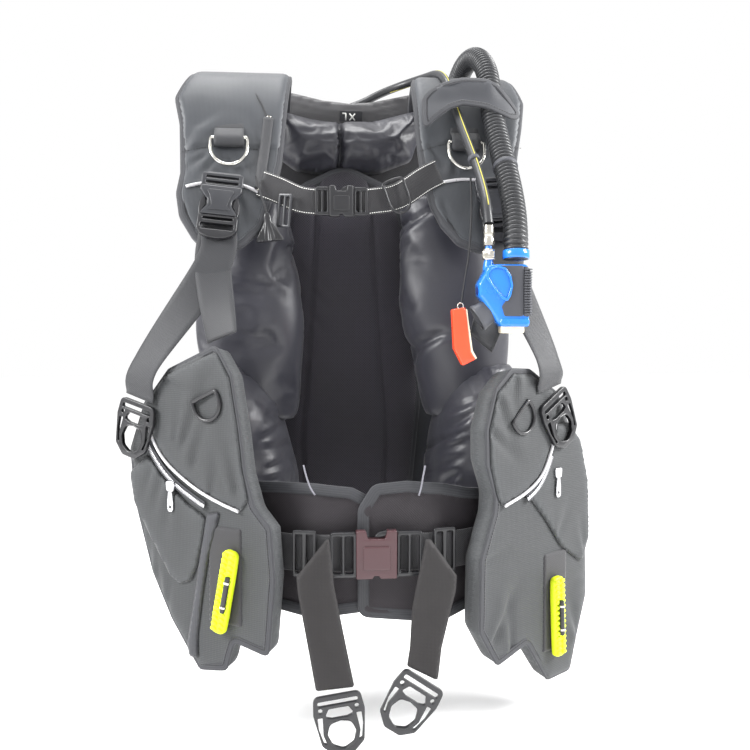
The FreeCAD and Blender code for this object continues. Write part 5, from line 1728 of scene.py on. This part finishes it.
# %% Yellow grips
HANDLES = {"right": (45, -229, -12, 6.5), "left": (30, -290, 3, -1.5)}
for side, (u, z, tilt, pin_x) in HANDLES.items():
    pose = on_pocket(side, u, 1.5, z, tilt)
    body = "pouch_" + side
    grip_loop = loop_of([(-11, -58), (11, -58), (12, -30), (12, 30), (11, 58), (-11, 58), (-12, 30),
                         (-12, -30)], 9)
    piece("grip_" + side, body, placed(plate([grip_loop], 10, 3), pose), hard["yellow"],
          ["pouch_handle_" + side])
    rows = []
    for column in (-5.6, 5.6):
        low, high = (pose @ Vector((column * MM, -10 * MM, -52 * MM)),
                     pose @ Vector((column * MM, -10 * MM, 52 * MM)))
        out = (pose.to_3x3() @ Vector((0, -1, 0)))
        rows.append((np.array([low, high]), np.array([out, out]), False))
    repeated("grip_nubs_" + side, body, rows, 7.4, (5.0, 9.0, 5.4), hard["yellow"], 0.2)
    pin = placed(turned([(0.6, -26), (3.2, -25), (3.8, -22), (3.8, 22), (3.2, 25), (0.6, 26)], 14),
                 pose @ at(pin_x, -13.6, 0))
    piece("grip_pin_" + side, body, pin, hard["black"], crease=50)
    rings = [placed(turned([(4.1, h - 1.6), (4.7, h - 1.2), (4.7, h + 1.2), (4.1, h + 1.6)], 14),
                    pose @ at(pin_x, -13.6, 0)) for h in (-17, 17)]
    piece("grip_pin_rings_" + side, body, joined(rings), hard["nickel"], crease=50)
print("grips made")

# %% [markdown]
# ## Zips
#
# A zip is a woven tape, a row of metal teeth and a slider with its pull tab. The teeth are repeated
# along the seam under the yoke's edge.

# %% Zips
zip_lines = {"right": [(-98, -34), (-86, -54), (-66, -76), (-40, -95), (-6, -112), (8, -118)],
             "left": [(17, -60), (6, -80), (-12, -100), (-36, -114)]}
zip_spots = {"right": (-50, -96), "left": (30, -84)}
for side, line in zip_lines.items():
    toward = 1 if side == "right" else -1
    rise = [(u, z, 3.0 - 5 * max(0, -toward * u / 130)) for u, z in line]
    route = laid(side, rise)
    out = np.array(on_pocket(side, 0, 1, 0).translation - on_pocket(side, 0, 0, 0).translation) / MM
    path = smooth_path(route * MM, 4 * MM)
    piece("zip_tape_" + side, "root",
          sweep(path, flat_section(12 * MM, 1.2 * MM), np.cross(np.gradient(path, axis=0), out)),
          cloths["tape"])
    repeated("zip_teeth_" + side, "root", [(path + out * 1.2 * MM, np.tile(out, (len(path), 1)), False)],
             2.2, (1.4, 5.2, 1.8), hard["zip metal"], 0.6)
    u, z = zip_spots[side]
    pose = on_pocket(side, u, 1, z)
    slider = plate([loop_of([(-6, -7), (6, -7), (8, 7), (-8, 7)], 3)], 6, 1.4)
    tab = plate([loop_of([(-3.4, -6), (3.4, -6), (5, -20), (5, -31), (3, -35), (-3, -35), (-5, -31),
                          (-5, -20)], 2), ring_loop(0, -28, 2, 14)], 2, 0.6)
    piece("zip_pull_" + side, "zip_" + side,
          joined([placed(slider, pose), placed(tab, pose @ at(0, -3.4, 0))]), hard["zip metal"],
          ["zip_slider_" + side], crease=50)
print("zips made")

# %% [markdown]
# ## Hoses
#
# Two hoses come forward over the left shoulder: a corrugated one for the diver's breath and a thin
# low-pressure one for gas. Each follows one smooth NURBS line. The corrugated wall repeats every 6.6 mm,
# a rule that a small Geometry Nodes tree states exactly: the radius rises and falls with the length
# along the line, and a circle is swept with it.

# %% Hose lines
def hose_line(name, route_mm):
    """A curve object with one NURBS spline whose control points are the route."""
    curve = bpy.data.curves.new(name, "CURVE")
    curve.dimensions = "3D"
    spline = curve.splines.new("NURBS")
    spline.points.add(len(route_mm) - 1)
    for spot, (x, y, z) in zip(spline.points, route_mm):
        spot.co = (x * MM, y * MM, z * MM, 1.0)
    spline.order_u = 3
    spline.use_endpoint_u = True
    spline.resolution_u = 20
    made = bpy.data.objects.new(name, curve)
    bpy.context.scene.collection.objects.link(made)
    bpy.context.view_layer.update()
    return made


def line_of(made):
    """The points of a hose line, in order."""
    mesh = bpy.data.meshes.new_from_object(made)
    return np.array([v.co for v in mesh.vertices])


def length_of(line):
    return float(np.linalg.norm(np.diff(line, axis=0), axis=1).sum())


HOSE_ROUTE = [(166, -80, 437), (167, -78, 474), (172, -94, 520), (178, -138, 549), (187, -190, 551),
              (194, -236, 521), (193, -270, 476),
              (193, -291, 428), (197, -324, 378), (200, -360, 331), (200, -391, 288), (197, -413, 256),
              (195, -424, 232), (195, -425, 214)]
LP_ROUTE = [(-12, -104, 482), (14, -98, 492), (46, -98, 510), (84, -114, 522), (112, -152, 524),
            (126, -198, 520), (132, -244, 496),
            (135, -278, 456), (142, -306, 416), (150, -336, 376), (155, -364, 342), (157, -392, 312),
            (157, -414, 286), (157, -424, 262)]
WHISTLE_ROUTE = [(152, -326, 338), (150, -344, 304), (144, -370, 264), (136, -396, 222),
                 (126, -416, 184), (119, -428, 152)]
DUMP_ROUTE = [(-157, -325, 336), (-153, -330, 316), (-147, -335, 299), (-142, -337, 284)]
hose_guide = hose_line("hose_guide", HOSE_ROUTE)
hose_path = line_of(hose_guide)
print("hose", round(length_of(hose_path), 3), "m")


# %% The corrugated wall
def corrugation_tree():
    tree = bpy.data.node_groups.new("corrugated hose", "GeometryNodeTree")
    for label, kind in (("Line", "NodeSocketGeometry"), ("Ridge radius", "NodeSocketFloat"),
                        ("Groove radius", "NodeSocketFloat"),
                        ("Pitch", "NodeSocketFloat"), ("Finish", "NodeSocketMaterial")):
        tree.interface.new_socket(label, in_out="INPUT", socket_type=kind)
    tree.interface.new_socket("Hose", in_out="OUTPUT", socket_type="NodeSocketGeometry")
    given = add_node(tree, "NodeGroupInput").outputs
    step = add_node(tree, "ShaderNodeMath", {0: given["Pitch"], 1: 7.0}, operation="DIVIDE")
    line = add_node(tree, "GeometryNodeResampleCurve",
                    {"Curve": given["Line"], "Length": step.outputs[0]}, mode="LENGTH")
    place = add_node(tree, "GeometryNodeSplineParameter")
    turns = add_node(tree, "ShaderNodeMath", {0: place.outputs["Length"], 1: given["Pitch"]},
                     operation="DIVIDE")
    angle = add_node(tree, "ShaderNodeMath", {0: turns.outputs[0], 1: 2 * math.pi}, operation="MULTIPLY")
    wave = add_node(tree, "ShaderNodeMath", {0: angle.outputs[0]}, operation="COSINE")
    half = add_node(tree, "ShaderNodeMath", {0: wave.outputs[0], 1: 0.5, 2: 0.5}, operation="MULTIPLY_ADD")
    narrow = add_node(tree, "ShaderNodeMath", {0: half.outputs[0], 1: 2.4}, operation="POWER")
    depth = add_node(tree, "ShaderNodeMath", {0: given["Ridge radius"], 1: given["Groove radius"]},
                     operation="SUBTRACT")
    fall = add_node(tree, "ShaderNodeMath", {0: narrow.outputs[0], 1: depth.outputs[0]},
                    operation="MULTIPLY")
    radius = add_node(tree, "ShaderNodeMath", {0: given["Ridge radius"], 1: fall.outputs[0]},
                      operation="SUBTRACT")
    ring = add_node(tree, "GeometryNodeCurvePrimitiveCircle", {"Resolution": 28, "Radius": 1.0},
                    mode="RADIUS")
    sized = add_node(tree, "GeometryNodeSetCurveRadius",
                     {"Curve": line.outputs[0], "Radius": radius.outputs[0]})
    wall = add_node(tree, "GeometryNodeCurveToMesh",
                    {"Curve": sized.outputs[0], "Profile Curve": ring.outputs[0], "Fill Caps": True})
    if "Scale" in wall.inputs:
        tree.links.new(radius.outputs[0], wall.inputs["Scale"])
    smooth = add_node(tree, "GeometryNodeSetShadeSmooth", {0: wall.outputs[0]})
    real = add_node(tree, "GeometryNodeRealizeInstances", {0: smooth.outputs[0]})
    dressed = add_node(tree, "GeometryNodeSetMaterial",
                       {"Geometry": real.outputs[0], "Material": given["Finish"]})
    add_node(tree, "NodeGroupOutput", {"Hose": dressed.outputs[0]})
    return tree


hose_mesh = evaluated_mesh(hose_guide, corrugation_tree(),
                           {"Ridge radius": 17 * MM, "Groove radius": 13.4 * MM, "Pitch": 6.6 * MM,
                            "Finish": hard["rubber"]})
hose = kept("corrugated_tube", "root", hose_mesh, ["corrugated_hose"])
print("hose wall", len(hose_mesh.polygons), "faces, box", [round(v, 3) for v in hose.dimensions])

# %% Low-pressure hose and cords
def bevelled(name, route_mm, radius_mm, finish, instead, body="root"):
    """A cord as a NURBS curve with a round bevel."""
    made = hose_line(name, route_mm)
    made.data.bevel_depth = radius_mm * MM
    made.data.bevel_resolution = 4
    made.data.use_fill_caps = True
    made.data.materials.append(finish)
    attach(made, body)
    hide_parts(*instead)
    return made


lp_guide = hose_line("lp_guide", LP_ROUTE)
lp_path = line_of(lp_guide)
bpy.data.objects.remove(lp_guide)
lp_hose = bevelled("lp_tube", LP_ROUTE, 6.5, hard["rubber"], ["lp_hose"])
whistle_cord = bevelled("whistle_lanyard", WHISTLE_ROUTE, 1.5, hard["black cord"], ["whistle_cord"])
dump_cord = bevelled("dump_lanyard", DUMP_ROUTE, 1.5, hard["black cord"], ["dump_cord"], "dump_pull")
run = np.gradient(lp_path, axis=0)
run /= np.linalg.norm(run, axis=1)[:, None]
front = np.cross(np.array([1.0, 0, 0]), run)
front *= np.sign(-front[:, 1:2] - 1e-9)
front /= np.linalg.norm(front, axis=1)[:, None]
stripe_path = (lp_path + front * 6.2 * MM + np.array([0.0012, 0, 0]))[40:-12]
piece("lp_stripe", "root",
      sweep(even(stripe_path, 4 * MM), flat_section(1.6 * MM, 0.9 * MM, 3), (1, 0, 0)), hard["stripe"])
print("gas hose", round(length_of(lp_path), 3), "m")


# %% [markdown]
# A rubber keeper holds the two hoses side by side, and a smooth cuff closes the corrugated hose at its
# lower end. They are turned rings set square to the hose.

# %% Keeper and cuffs
def square_to(path, height_mm, from_end=False):
    """A placement on a path where it passes a height, with +Z along the path."""
    order = path[::-1] if from_end else path
    index = int(np.argmax(order[:, 2] < height_mm
                          * MM)) if order[0][2] > height_mm * MM else int(np.argmax(order[:,
                              2] > height_mm * MM))
    index = min(max(index, 1), len(order) - 2)
    along = Vector(order[index + 1] - order[index - 1]).normalized()
    return Matrix.Translation(Vector(order[index])) @ along.to_track_quat("Z", "Y").to_matrix().to_4x4()


def collar(inner, outer, tall):
    """A ring with rolled edges and an open middle."""
    points, faces = [], []
    section = [(inner, -tall / 2), (outer - 0.8, -tall / 2), (outer, -tall / 2 + 0.8),
               (outer, tall / 2 - 0.8), (outer - 0.8, tall / 2), (inner, tall / 2)]
    sides = 32
    for i in range(sides):
        a = 2 * math.pi * i / sides
        points.extend((r * MM * math.cos(a), r * MM * math.sin(a), h * MM) for r, h in section)
    size = len(section)
    faces = [(i * size + j, i * size + (j + 1) % size, ((i + 1) % sides) * size + (j + 1) % size,
              ((i + 1) % sides) * size + j)
             for i in range(sides) for j in range(size)]
    return outward((points, faces))


lower_half = hose_path[len(hose_path) // 2:]
lp_lower = lp_path[len(lp_path) // 2:]
keeper = [placed(collar(13, 18.2, 7), square_to(lower_half, 352)),
          placed(collar(6.2, 8.6, 7), square_to(lp_lower, 362))]
piece("hose_keeper", "root", joined(keeper), hard["soft grey"], crease=50)
cuff_low = placed(collar(12.5, 18.4, 12), square_to(lower_half, 221))
piece("hose_foot_collar", "root", cuff_low, hard["blue"], crease=50)
print("keeper and cuffs made")

# %% [markdown]
# ## Inflator
#
# The blue head carries a teardrop badge plate, a soft grey grip with fine ribs at the back of the
# fingers, a side button for gas, a pale button underneath for venting and an oval mouthpiece.

# %% Inflator head
HEAD = at(196, -410, 210)
head_edge = [(-28, -3), (12, -3), (15, -12), (15, -76), (11, -86), (-24, -86), (-30, -80), (-46, -56),
             (-54, -46), (-55, -30), (-46, -14), (-42, -4)]
head = [placed(plate([loop_of(head_edge, 7)], 30, 5), HEAD),
        placed(turned([(4.4, -8), (4.6, 18), (4.2, 25), (3.4, 26)], 20), at(157, -425, 210)),
        placed(turned([(7.6, -9), (7.9, -6), (6.6, 2), (5.6, 5), (5.2, 6)], 28), at(157, -425, 208)),
        placed(plate([loop_of([(-24, -75), (14, -75), (15, -82), (13, -87), (-24, -87), (-27, -82)],
                              2.5)], 33, 3), HEAD @ at(0, 1.5, 0))]
piece("inflator_head", "root", joined(head), hard["blue"], ["inflator_body"], crease=55)
cover_edge = [(-40, -9), (-30, -5), (-19, -8), (-12, -18), (-9, -32), (-12, -46), (-17, -54), (-24, -50),
              (-38, -33), (-46, -22), (-46, -14)]
inner_edge = [(-38, -11), (-30, -8), (-20, -11), (-15, -20), (-12, -32), (-15, -43), (-18, -49),
              (-24, -45), (-36, -31), (-42, -21), (-42, -15)]
badge = [placed(plate([loop_of(cover_edge, 6), loop_of(inner_edge, 5)], 4.2, 1.2), HEAD @ at(0, -29.3, 0)),
         placed(plate([loop_of([(x, z) for x, z in inner_edge], 5)], 2.4, 0.8), HEAD @ at(0, -29.6, 0))]
piece("inflator_badge", "root", joined(badge), hard["blue"], ["inflator_cover"], crease=55)
front_grip = plate([loop_of([(-27, -5), (6, -5), (6, -73), (-20, -73), (-24, -60), (-14, -46),
                             (-10, -32), (-14, -18), (-22, -8)], 3)], 3.4, 1.2)
back_grip = plate([loop_of([(5, -5), (12, -6), (17, -14), (17.6, -44), (17, -70), (14, -74), (5, -74)],
                           4)], 32, 3)
piece("inflator_grip_pad", "root",
      joined([placed(front_grip, HEAD @ at(0, -28.4, 0)), placed(back_grip, HEAD @ at(0, 1, 0))]),
      hard["soft grey"],
      ["inflator_grip"], crease=55)
ribs = []
for x, lean in ((9.5, 0.0), (13.6, 0.18)):
    low = HEAD @ Vector(((x + 0.8) * MM, -31.6 * MM, -70 * MM))
    middle = HEAD @ Vector((x * MM, -32 * MM, -40 * MM))
    high = HEAD @ Vector(((x + 0.8) * MM, -31.6 * MM, -10 * MM))
    ribs.append((smooth_path(np.array([low, middle, high]), 3 * MM),
                 np.array([[0.3, -1, 0]] * len(smooth_path(np.array([low, middle, high]), 3 * MM))), False))
repeated("inflator_ribs", "root", ribs, 3.5, (1.9, 6.2, 2.6), hard["lip"], 0.3)
piece("gas_button", "side_button",
      placed(turned([(5, 0), (8, 0.6), (9, 2.2), (9, 11)], 28),
             at(141, -425, 173) @ Matrix.Rotation(math.pi / 2, 4, "Y")),
      hard["navy"], ["inflate_button"], crease=50)
vent_button = plate([loop_of([(-23, -8), (9, -8), (9, 8), (6, 10), (-20, 10), (-23, 8)], 3)], 21, 2.4)
piece("vent_button", "bottom_button", placed(vent_button, at(196, -414.5, 122)), hard["cream"],
      ["deflate_button"], crease=50)
print("inflator head made")

# %% Mouthpiece
mouth_axis = Vector((-0.84, 0, -0.54)).normalized()
mouth_turn = Matrix((Vector((-0.54, 0, 0.84)).normalized(), Vector((0, 1, 0)),
                     mouth_axis)).transposed().to_4x4()
mouth_pose = Matrix.Translation(Vector((162, -425, 147)) * MM) @ mouth_turn


def oval_cup():
    """An oval tube with a rolled lip: a profile of (share of the oval, height) swept round."""
    profile = [(0.72, -4), (0.86, 0), (0.9, 8), (0.98, 18), (1.04, 21), (1.06, 23), (1.0, 24.6),
               (0.9, 24.2), (0.84, 22), (0.8, 14), (0.72, 6), (0.02, 5)]
    sides = 40
    points = []
    for share, height in profile:
        for i in range(sides):
            a = 2 * math.pi * i / sides
            points.append((18 * MM * share * math.cos(a), 14.5 * MM * share * math.sin(a), height * MM))
    faces = [(k * sides + i, k * sides + (i + 1) % sides, (k + 1) * sides + (i + 1) % sides,
              (k + 1) * sides + i)
             for k in range(len(profile) - 1) for i in range(sides)]
    faces.append(tuple(range(sides - 1, -1, -1)))
    faces.append(tuple((len(profile) - 1) * sides + i for i in range(sides)))
    return outward((points, faces))


piece("mouthpiece_cup", "root", placed(oval_cup(), mouth_pose), hard["lip"],
      ["mouthpiece"], crease=55)
neck_of_mouth = turned([(12, -6), (13.5, 2), (13, 8), (11, 12)], 32)
piece("mouthpiece_neck", "root", placed(neck_of_mouth, mouth_pose @ at(0, 0, -7)), hard["blue"],
      crease=55)
print("mouthpiece made")

# %% [markdown]
# The quick coupling is nickel-plated brass: a knurled sleeve that lifts to let go, and a hexagonal
# ferrule crimped on the hose. The knurl is a ripple in the turned profile's radius.

# %% Couplings
def knurl(angle, height):
    return 1 + (0.05 * math.cos(22 * angle) if 3 < height < 12 else 0)


sleeve = turned([(5.3, 0), (7.9, 0.4), (8.5, 1.4), (8.5, 3), (7.6, 3.6), (7.8, 4.2), (7.8, 11),
                 (7.6, 11.6), (8.3, 12.4), (8.3, 14), (7.4, 15), (5.3, 15)], 88, knurl)
piece("coupling_sleeve", "hose_sleeve", placed(sleeve, at(157, -425, 213)), hard["nickel"],
      ["qd_fitting"], crease=40)
ferrule = turned([(6.2, -4), (7.4, -3), (7.6, 0), (7.6, 6), (6.9, 7), (6.9, 9), (7.4, 10), (7.2, 16),
                  (6.8, 24)], 48)
upper_along = Vector((-26, -6, -10)).normalized()
upper_pose = Matrix.Translation(Vector((-12.6, -104.1, 481.8)) * MM) @ upper_along.to_track_quat("Z",
    "Y").to_matrix().to_4x4()
nut = turned([(6, 0), (8, 0.6), (8, 9), (7.2, 10), (7.2, 22), (6.4, 24)], 48)
piece("hose_couplings", "root", joined([placed(ferrule, at(157, -424.5, 236)), placed(nut, upper_pose)]),
      hard["nickel"], ["hose_ferrules"], crease=40)
print("couplings turned")

# %% [markdown]
# ## Whistle and dump pull
#
# The flat whistle is moulded in fluorescent orange, on a short lanyard; one narrow side is drawn in pale
# cream, a painted highlight. The pull of the shoulder dump is a rubber tassel with deep flutes.

# %% Whistle
whistle_edge = [(-9, 0), (9, 3), (17, -56), (24, -67), (6, -76), (-6, -53)]
whistle_pose = at(114.5, -420.5, 146)
piece("whistle_body", "whistle", placed(plate([loop_of(whistle_edge, 2.5)], 15, 1.8), whistle_pose),
      hard["orange"],
                     ["whistle"], crease=45)
# one narrow side of the orange whistle drawn in pale cream: a painted highlight
painted_highlight_facet = plate([loop_of([(9.6, 1), (11.6, 0), (19.5, -55), (25.6, -66), (22.4, -67), (16.4, -56)],
                            0.9)], 13, 0.9)
piece("whistle_side", "whistle", placed(painted_highlight_facet, whistle_pose @ at(0, -1, 0)), hard["cream"],
      crease=45)
piece("whistle_ring", "whistle",
    placed(wire([(4, 0, 0), (3, 0, 3.4), (0, 0, 5), (-3, 0, 3.4), (-4, 0, 0), (-3, 0, -3.4), (0, 0, -5),
                 (3, 0, -3.4)], 0.9, 1.2, closed=True,
      across=(0, 1, 0)), at(118, -428, 150)), hard["nickel"])


def flutes(angle, height):
    return 1 + 0.1 * math.cos(16 * angle) * min(1.0, max(0.0, (-height - 12) / 14))


tassel = turned([(1.2, 1), (3.4, -1), (4.6, -4), (5.4, -8), (5.0, -12), (8, -18), (12.5, -28), (17, -37),
                 (17.6, -40), (14, -41)], 64, flutes)
flatten = Matrix.Diagonal((1.0, 0.56, 1.0, 1.0))
knob = piece("dump_tassel", "dump_pull", placed(tassel, at(-142, -337, 283.5, 0, 0, -6) @ flatten),
             hard["black"], ["dump_knob"], crease=60)

# %% [markdown]
# ## Hose flap
#
# A flap of dark nylon holds both hoses down on the left shoulder. It is a crescent of cloth that stands
# on its two ends and bends over the hoses between them, so its depth falls away towards both ends. It
# is a single sheet, and its flat size is printed.

# %% Flap over the hoses
over_hoses, _, flap_v = bend_line([(-246, 534), (-262, 520), (-290, 488), (-303, 456), (-312, 436),
                                   (-320, 408)])
flap_corners = [(88, flap_v(415)), (86, flap_v(440)), (88, flap_v(464)), (98, flap_v(475)),
                (116, flap_v(484)), (146, flap_v(491)), (184, flap_v(491)),
                (200, flap_v(484)), (216, flap_v(466)), (232, flap_v(449)), (230, flap_v(436)),
                (216, flap_v(433)), (198, flap_v(438)), (178, flap_v(445)),
                (144, flap_v(449)), (124, flap_v(443)), (108, flap_v(432))]
flap_rim = rounded(flap_corners, 10, 3.5) * MM


def on_flap(u, v, depth):
    """The flap's place function: it bows out over the hoses and drops at both ends."""
    middle = (u / MM - 158) / 74
    drop = 17 * MM * np.clip(np.abs(middle), 0, 1.05) ** 2.6
    return over_hoses(u, v, depth - 2 * MM - drop)


flap_folds = [(196, 62, 214, 96, 10, 2.2), (120, 60, 150, 92, 12, 1.6), (206, 50, 226, 78, 6, 1.8)]
hose_flap = piece("hose_flap_cloth", "root",
                  outward(shell(flap_rim, lambda u, v,
                                d: 1.8 * MM * crown(d, 3 * MM) + folded(u, v, flap_folds) * crown(d, 8 * MM),
                  lambda u, v, d: -1.2 * MM * crown(d, 3 * MM), on_flap, 3.6 * MM)), cloths["flap"],
                  ["hose_flap"])
piece("hose_flap_tape", "root", bound_edge(flap_rim, on_flap, 4.2, 8.0, 1.0), cloths["tape"])
print("flap", round(float(np.ptp(flap_rim[:, 0])), 3), "by", round(float(np.ptp(flap_rim[:, 1])), 3))

# %% [markdown]
# ## Collar
#
# Behind the pillow a black yoke joins the two shoulders. Its upper part is the collar band, with two
# welts and a small woven size label; its lower part closes the space between the pad and the panels.

# %% Yoke and collar band
def on_yoke(u, v, depth):
    """The yoke leans forward as it goes down, then hangs straight behind the pad."""
    level = np.interp(v, np.array([300, 440, 470, 505]) * MM, np.array([-126, -128, -122, -107]) * MM)
    return np.stack([u, level - depth, v], axis=1)


yoke_rim = rounded([(-116, 507), (-93, 503), (-52, 493), (-6, 488), (32, 492), (91, 506), (104, 508),
                    (140, 470), (152, 400), (148, 330), (110, 306), (-140, 306),
                    (-186, 330), (-192, 400), (-176, 470)], 14, 5) * MM


def yoke_front(u, v, d):
    welt = np.exp(-((d - 15 * MM) / (2.2 * MM)) ** 2) + np.exp(-((d - 3 * MM) / (3 * MM)) ** 2)
    return 2 * MM * crown(d, 3 * MM) + 1.6 * MM * welt * (v > 440 * MM)


piece("collar_yoke", "root",
      outward(shell(yoke_rim, yoke_front, lambda u, v, d: -1.5 * MM * crown(d, 3 * MM), on_yoke,
                    5 * MM)), cloths["dark webbing"])
label = plate([box_loop(-18.5, 18.5, -9.5, 9.5, 1.2)], 0.8, 0.3)
label_pose = at(-6, -127.5, 464, 0, 14)
piece("size_label", "root", placed(label, label_pose), cloths["tape"], crease=40)
strokes = [((-6.5, -5.5), (2.5, 5.5)), ((-6.5, 5.5), (2.5, -5.5)), ((8.5, -5.5), (8.5, 5.5)),
           ((8.5, -5.5), (14, -5.5))]
letters = []
for (x0, z0), (x1, z1) in strokes:
    letters.append(sweep(np.array([(-x0 * MM, 0, -z0 * MM), (-x1 * MM, 0, -z1 * MM)]),
                         flat_section(2.2 * MM, 0.6 * MM, 3), np.array([z1 - z0, 0, -(x1 - x0)], float)))
piece("size_letters", "root", placed(joined(letters), label_pose @ at(0, -1.1, 0)), hard["white thread"])
print("collar made")

# %% [markdown]
# ## Small fittings of the shoulders
#
# The webbing loops that hold the shoulder rings, the sleeve on the right panel that guides the dump
# cord, and the cord's upper run that disappears over the shoulder.

# %% Ring loops, sleeve and cord
loops = [strap([(x, -277, 412), (x, -287, 405), (x, -295.5, 397), (x, -296.5, 389), (x, -292, 383),
                (x, -287, 385)], ACROSS, 43, 1.8, 3) for x in (-196, 152)]
piece("ring_loops", "root", joined(loops), cloths["webbing"])
sleeve_line = [(-139, 288), (-144, 333), (-149, 372), (-152, 406)]
line = np.array(sleeve_line, float) * MM
sleeve_path = smooth_path(on_panel(line[:, 0], line[:, 1], np.full(len(line), 11.5 * MM)), 4 * MM)
piece("cord_sleeve", "root",
    sweep(sleeve_path, [(7.5 * MM * math.cos(a), 3.4 * MM * math.sin(a))
                        for a in np.linspace(0, 2 * math.pi, 20, endpoint=False)], (1, 0, 0)),
      cloths["webbing"])
upper_line = np.array([(-168, 180), (-166, 204), (-157, 245), (-148, 267), (-140, 290)], float) * MM
piece("cord_upper_run", "root",
    sweep(smooth_path(on_panel(upper_line[:, 0], upper_line[:, 1], np.full(len(upper_line), 9.4 * MM)),
                      4 * MM), ring_section(1.5 * MM, 8), (1, 0, 0)),
      hard["black cord"])
ends = on_panel(np.array([-138.5, -152.5]) * MM, np.array([286, 408]) * MM, np.array([11.5, 11.5]) * MM)
piece("cord_eyelets", "root",
    joined([placed(collar(1.6, 3.6, 1.6), Matrix.Translation(Vector(ends[i])) @ at(0, 0, 0, 0, -20))
            for i in (0, 1)]), hard["nickel"])
waist_cords = [wire([(-95, -443.5, -60), (-91, -445, -76), (-86, -446, -90), (-80, -446, -100)], 1.2, 3,
                    sides=8),
               wire([(67, -450.5, -62), (64, -452, -76), (61, -453, -92), (58, -453, -102)], 1.2, 3,
                    sides=8)]
piece("waist_cords", "root", joined(waist_cords), hard["grey cord"])
print("small fittings placed")

# %% [markdown]
# ## Stitching
#
# Thread is what makes the vest look sewn. The bindings of the shoulder panels, pockets, hose flap and
# back pad carry a row of dark stitches, the pad has two quilting rows, the shoulder panels a row along
# the cloth overlap, and the chest strap has white rows along both edges.
# A real stitch is 3 mm long and half a millimetre thick; here it is a little thicker, to show.

# %% Dark stitches
dark_rows = []
for side, corners in panel_rims.items():
    rim = rounded(corners, 18, 4.5) * MM
    dark_rows.append(pattern_line(on_panel, inset(rim, 9), 6.9, True, False))
    seam = panel_seams[side]
    dark_rows.append(pattern_line(on_panel, list(zip(seam[0::2], [v + 5 for v in seam[1::2]])), 7.9))
repeated("shoulder_stitches", "root", dark_rows, 4.0, (2.8, 0.8, 0.7), hard["dark thread"], 0.2)
pocket_rows = []
for side, data in POCKET_SHAPES.items():
    rim = rounded(data["edge"], 9, 4.5) * MM
    toward = 1 if side == "right" else -1
    flat_place = pocket_place(side)

    def tape_place(u, v, depth):
        return flat_place(u, v,
                          depth - 2 * MM - 12 * MM * np.clip((20 * MM - toward * u) / (120 * MM), 0, 1))

    pocket_rows.append(pattern_line(tape_place, inset(rim, 6.4), 2.0, True, False))
repeated("pocket_stitches", "root", pocket_rows, 4.0, (2.8, 0.8, 0.7), hard["dark thread"], 0.2)
flap_row = pattern_line(on_flap, inset(flap_rim, 6), 2.3, True, False)
pad_rows = [pattern_line(upright(PAD_Y), inset(pad_rim, 10.5), 16.8, True, False)]
for flip in (-1, 1):
    quilt = [(-20 + flip * quilt_line(z * MM) / MM, z) for z in range(-180, 350, 12)]
    pad_rows.append(pattern_line(upright(PAD_Y), quilt, 16.2))
repeated("pad_and_flap_stitches", "root", [flap_row] + pad_rows, 4.2, (2.8, 0.8, 0.7),
         hard["dark thread"], 0.2)
print("dark stitches sewn")


# %% White stitches
def strap_rows(stations, across, wide_mm, lift_mm, inset_mm=2.4):
    """Two rows of stitches along a strap, on the face towards the wearer."""
    path = smooth_path(np.asarray(stations, float) * MM, 3 * MM)
    side = np.asarray(across, float) / np.linalg.norm(across)
    run = np.gradient(path, axis=0)
    out = np.cross(run, side)
    out /= np.linalg.norm(out, axis=1)[:, None]
    out *= np.sign(-out[:, 1:2])
    wide = side - run * (run @ side)[:, None] / np.maximum((run * run).sum(1), 1e-12)[:, None]
    wide /= np.linalg.norm(wide, axis=1)[:, None]
    return [(path + wide * s * (wide_mm / 2 - inset_mm) * MM + out * lift_mm * MM, out, False)
            for s in (-1, 1)]


white_rows = strap_rows([(-150, -322, 326), (-126, -325, 317), (-98, -331, 304), (-74, -333.5, 300),
                         (-60, -333.5, 300)], UP, 38, 1.2) \
    + strap_rows([(2, -333.5, 301), (44, -330, 309), (84, -318, 335), (108, -312, 348)], UP, 38, 1.2)
repeated("chest_white_stitches", "root", white_rows, 3.2, (2.2, 1.1, 0.8), hard["white thread"],
         0.2)
print("white stitches sewn")

# %% [markdown]
# ## Behind
#
# The rigid parts at the back keep the hidden model's own shapes, which are already right: the back
# plate, the carry handle and the cam buckle only need their materials. The hose elbow and the rear dump
# valve are turned again with the rolled edges and finger ribs of moulded parts.

# %% Materials on carried-over parts
for name, finish in (("backplate", hard["black"]), ("carry_handle", hard["soft grey"]),
                     ("cam_buckle_frame", hard["black"]),
                     ("cam_buckle_lever", hard["grey black"])):
    carried = bpy.data.objects[name]
    for slot in carried.material_slots:
        slot.material = finish
print("back parts finished")


# %% Elbow and dump valve
def lobes(angle, height):
    return 1 + (0.05 * math.cos(12 * angle) if 3 < height < 11 else 0)


valve = turned([(20, -3), (26, -2.4), (26, 0), (24.5, 1), (20.6, 1.4), (20, 3), (20, 9), (18, 10),
                (9, 10.4), (8, 8.8), (2, 8.6)], 72, lobes)
piece("rear_dump_cap", "root",
    placed(valve, at(-118, -105, -175) @ Matrix.Rotation(-math.pi / 2, 4, "X")), hard["black"],
    ["rear_dump_valve"], crease=45)
elbow = turned([(20, 0), (21, 1), (21, 18), (20.4, 19), (18.6, 20), (18.6, 26), (17.6, 27)], 48)
flange = turned([(22.8, 0), (24, 1), (24, 3.6), (22, 4.4), (20, 20), (18, 22)], 48)
piece("hose_elbow_cap", "root",
    joined([placed(elbow, at(166, -80, 409)),
            placed(flange, at(166, -81, 413) @ Matrix.Rotation(math.pi / 2, 4, "X"))]), hard["black"],
      ["hose_elbow"], crease=45)
print("elbow and dump valve turned")
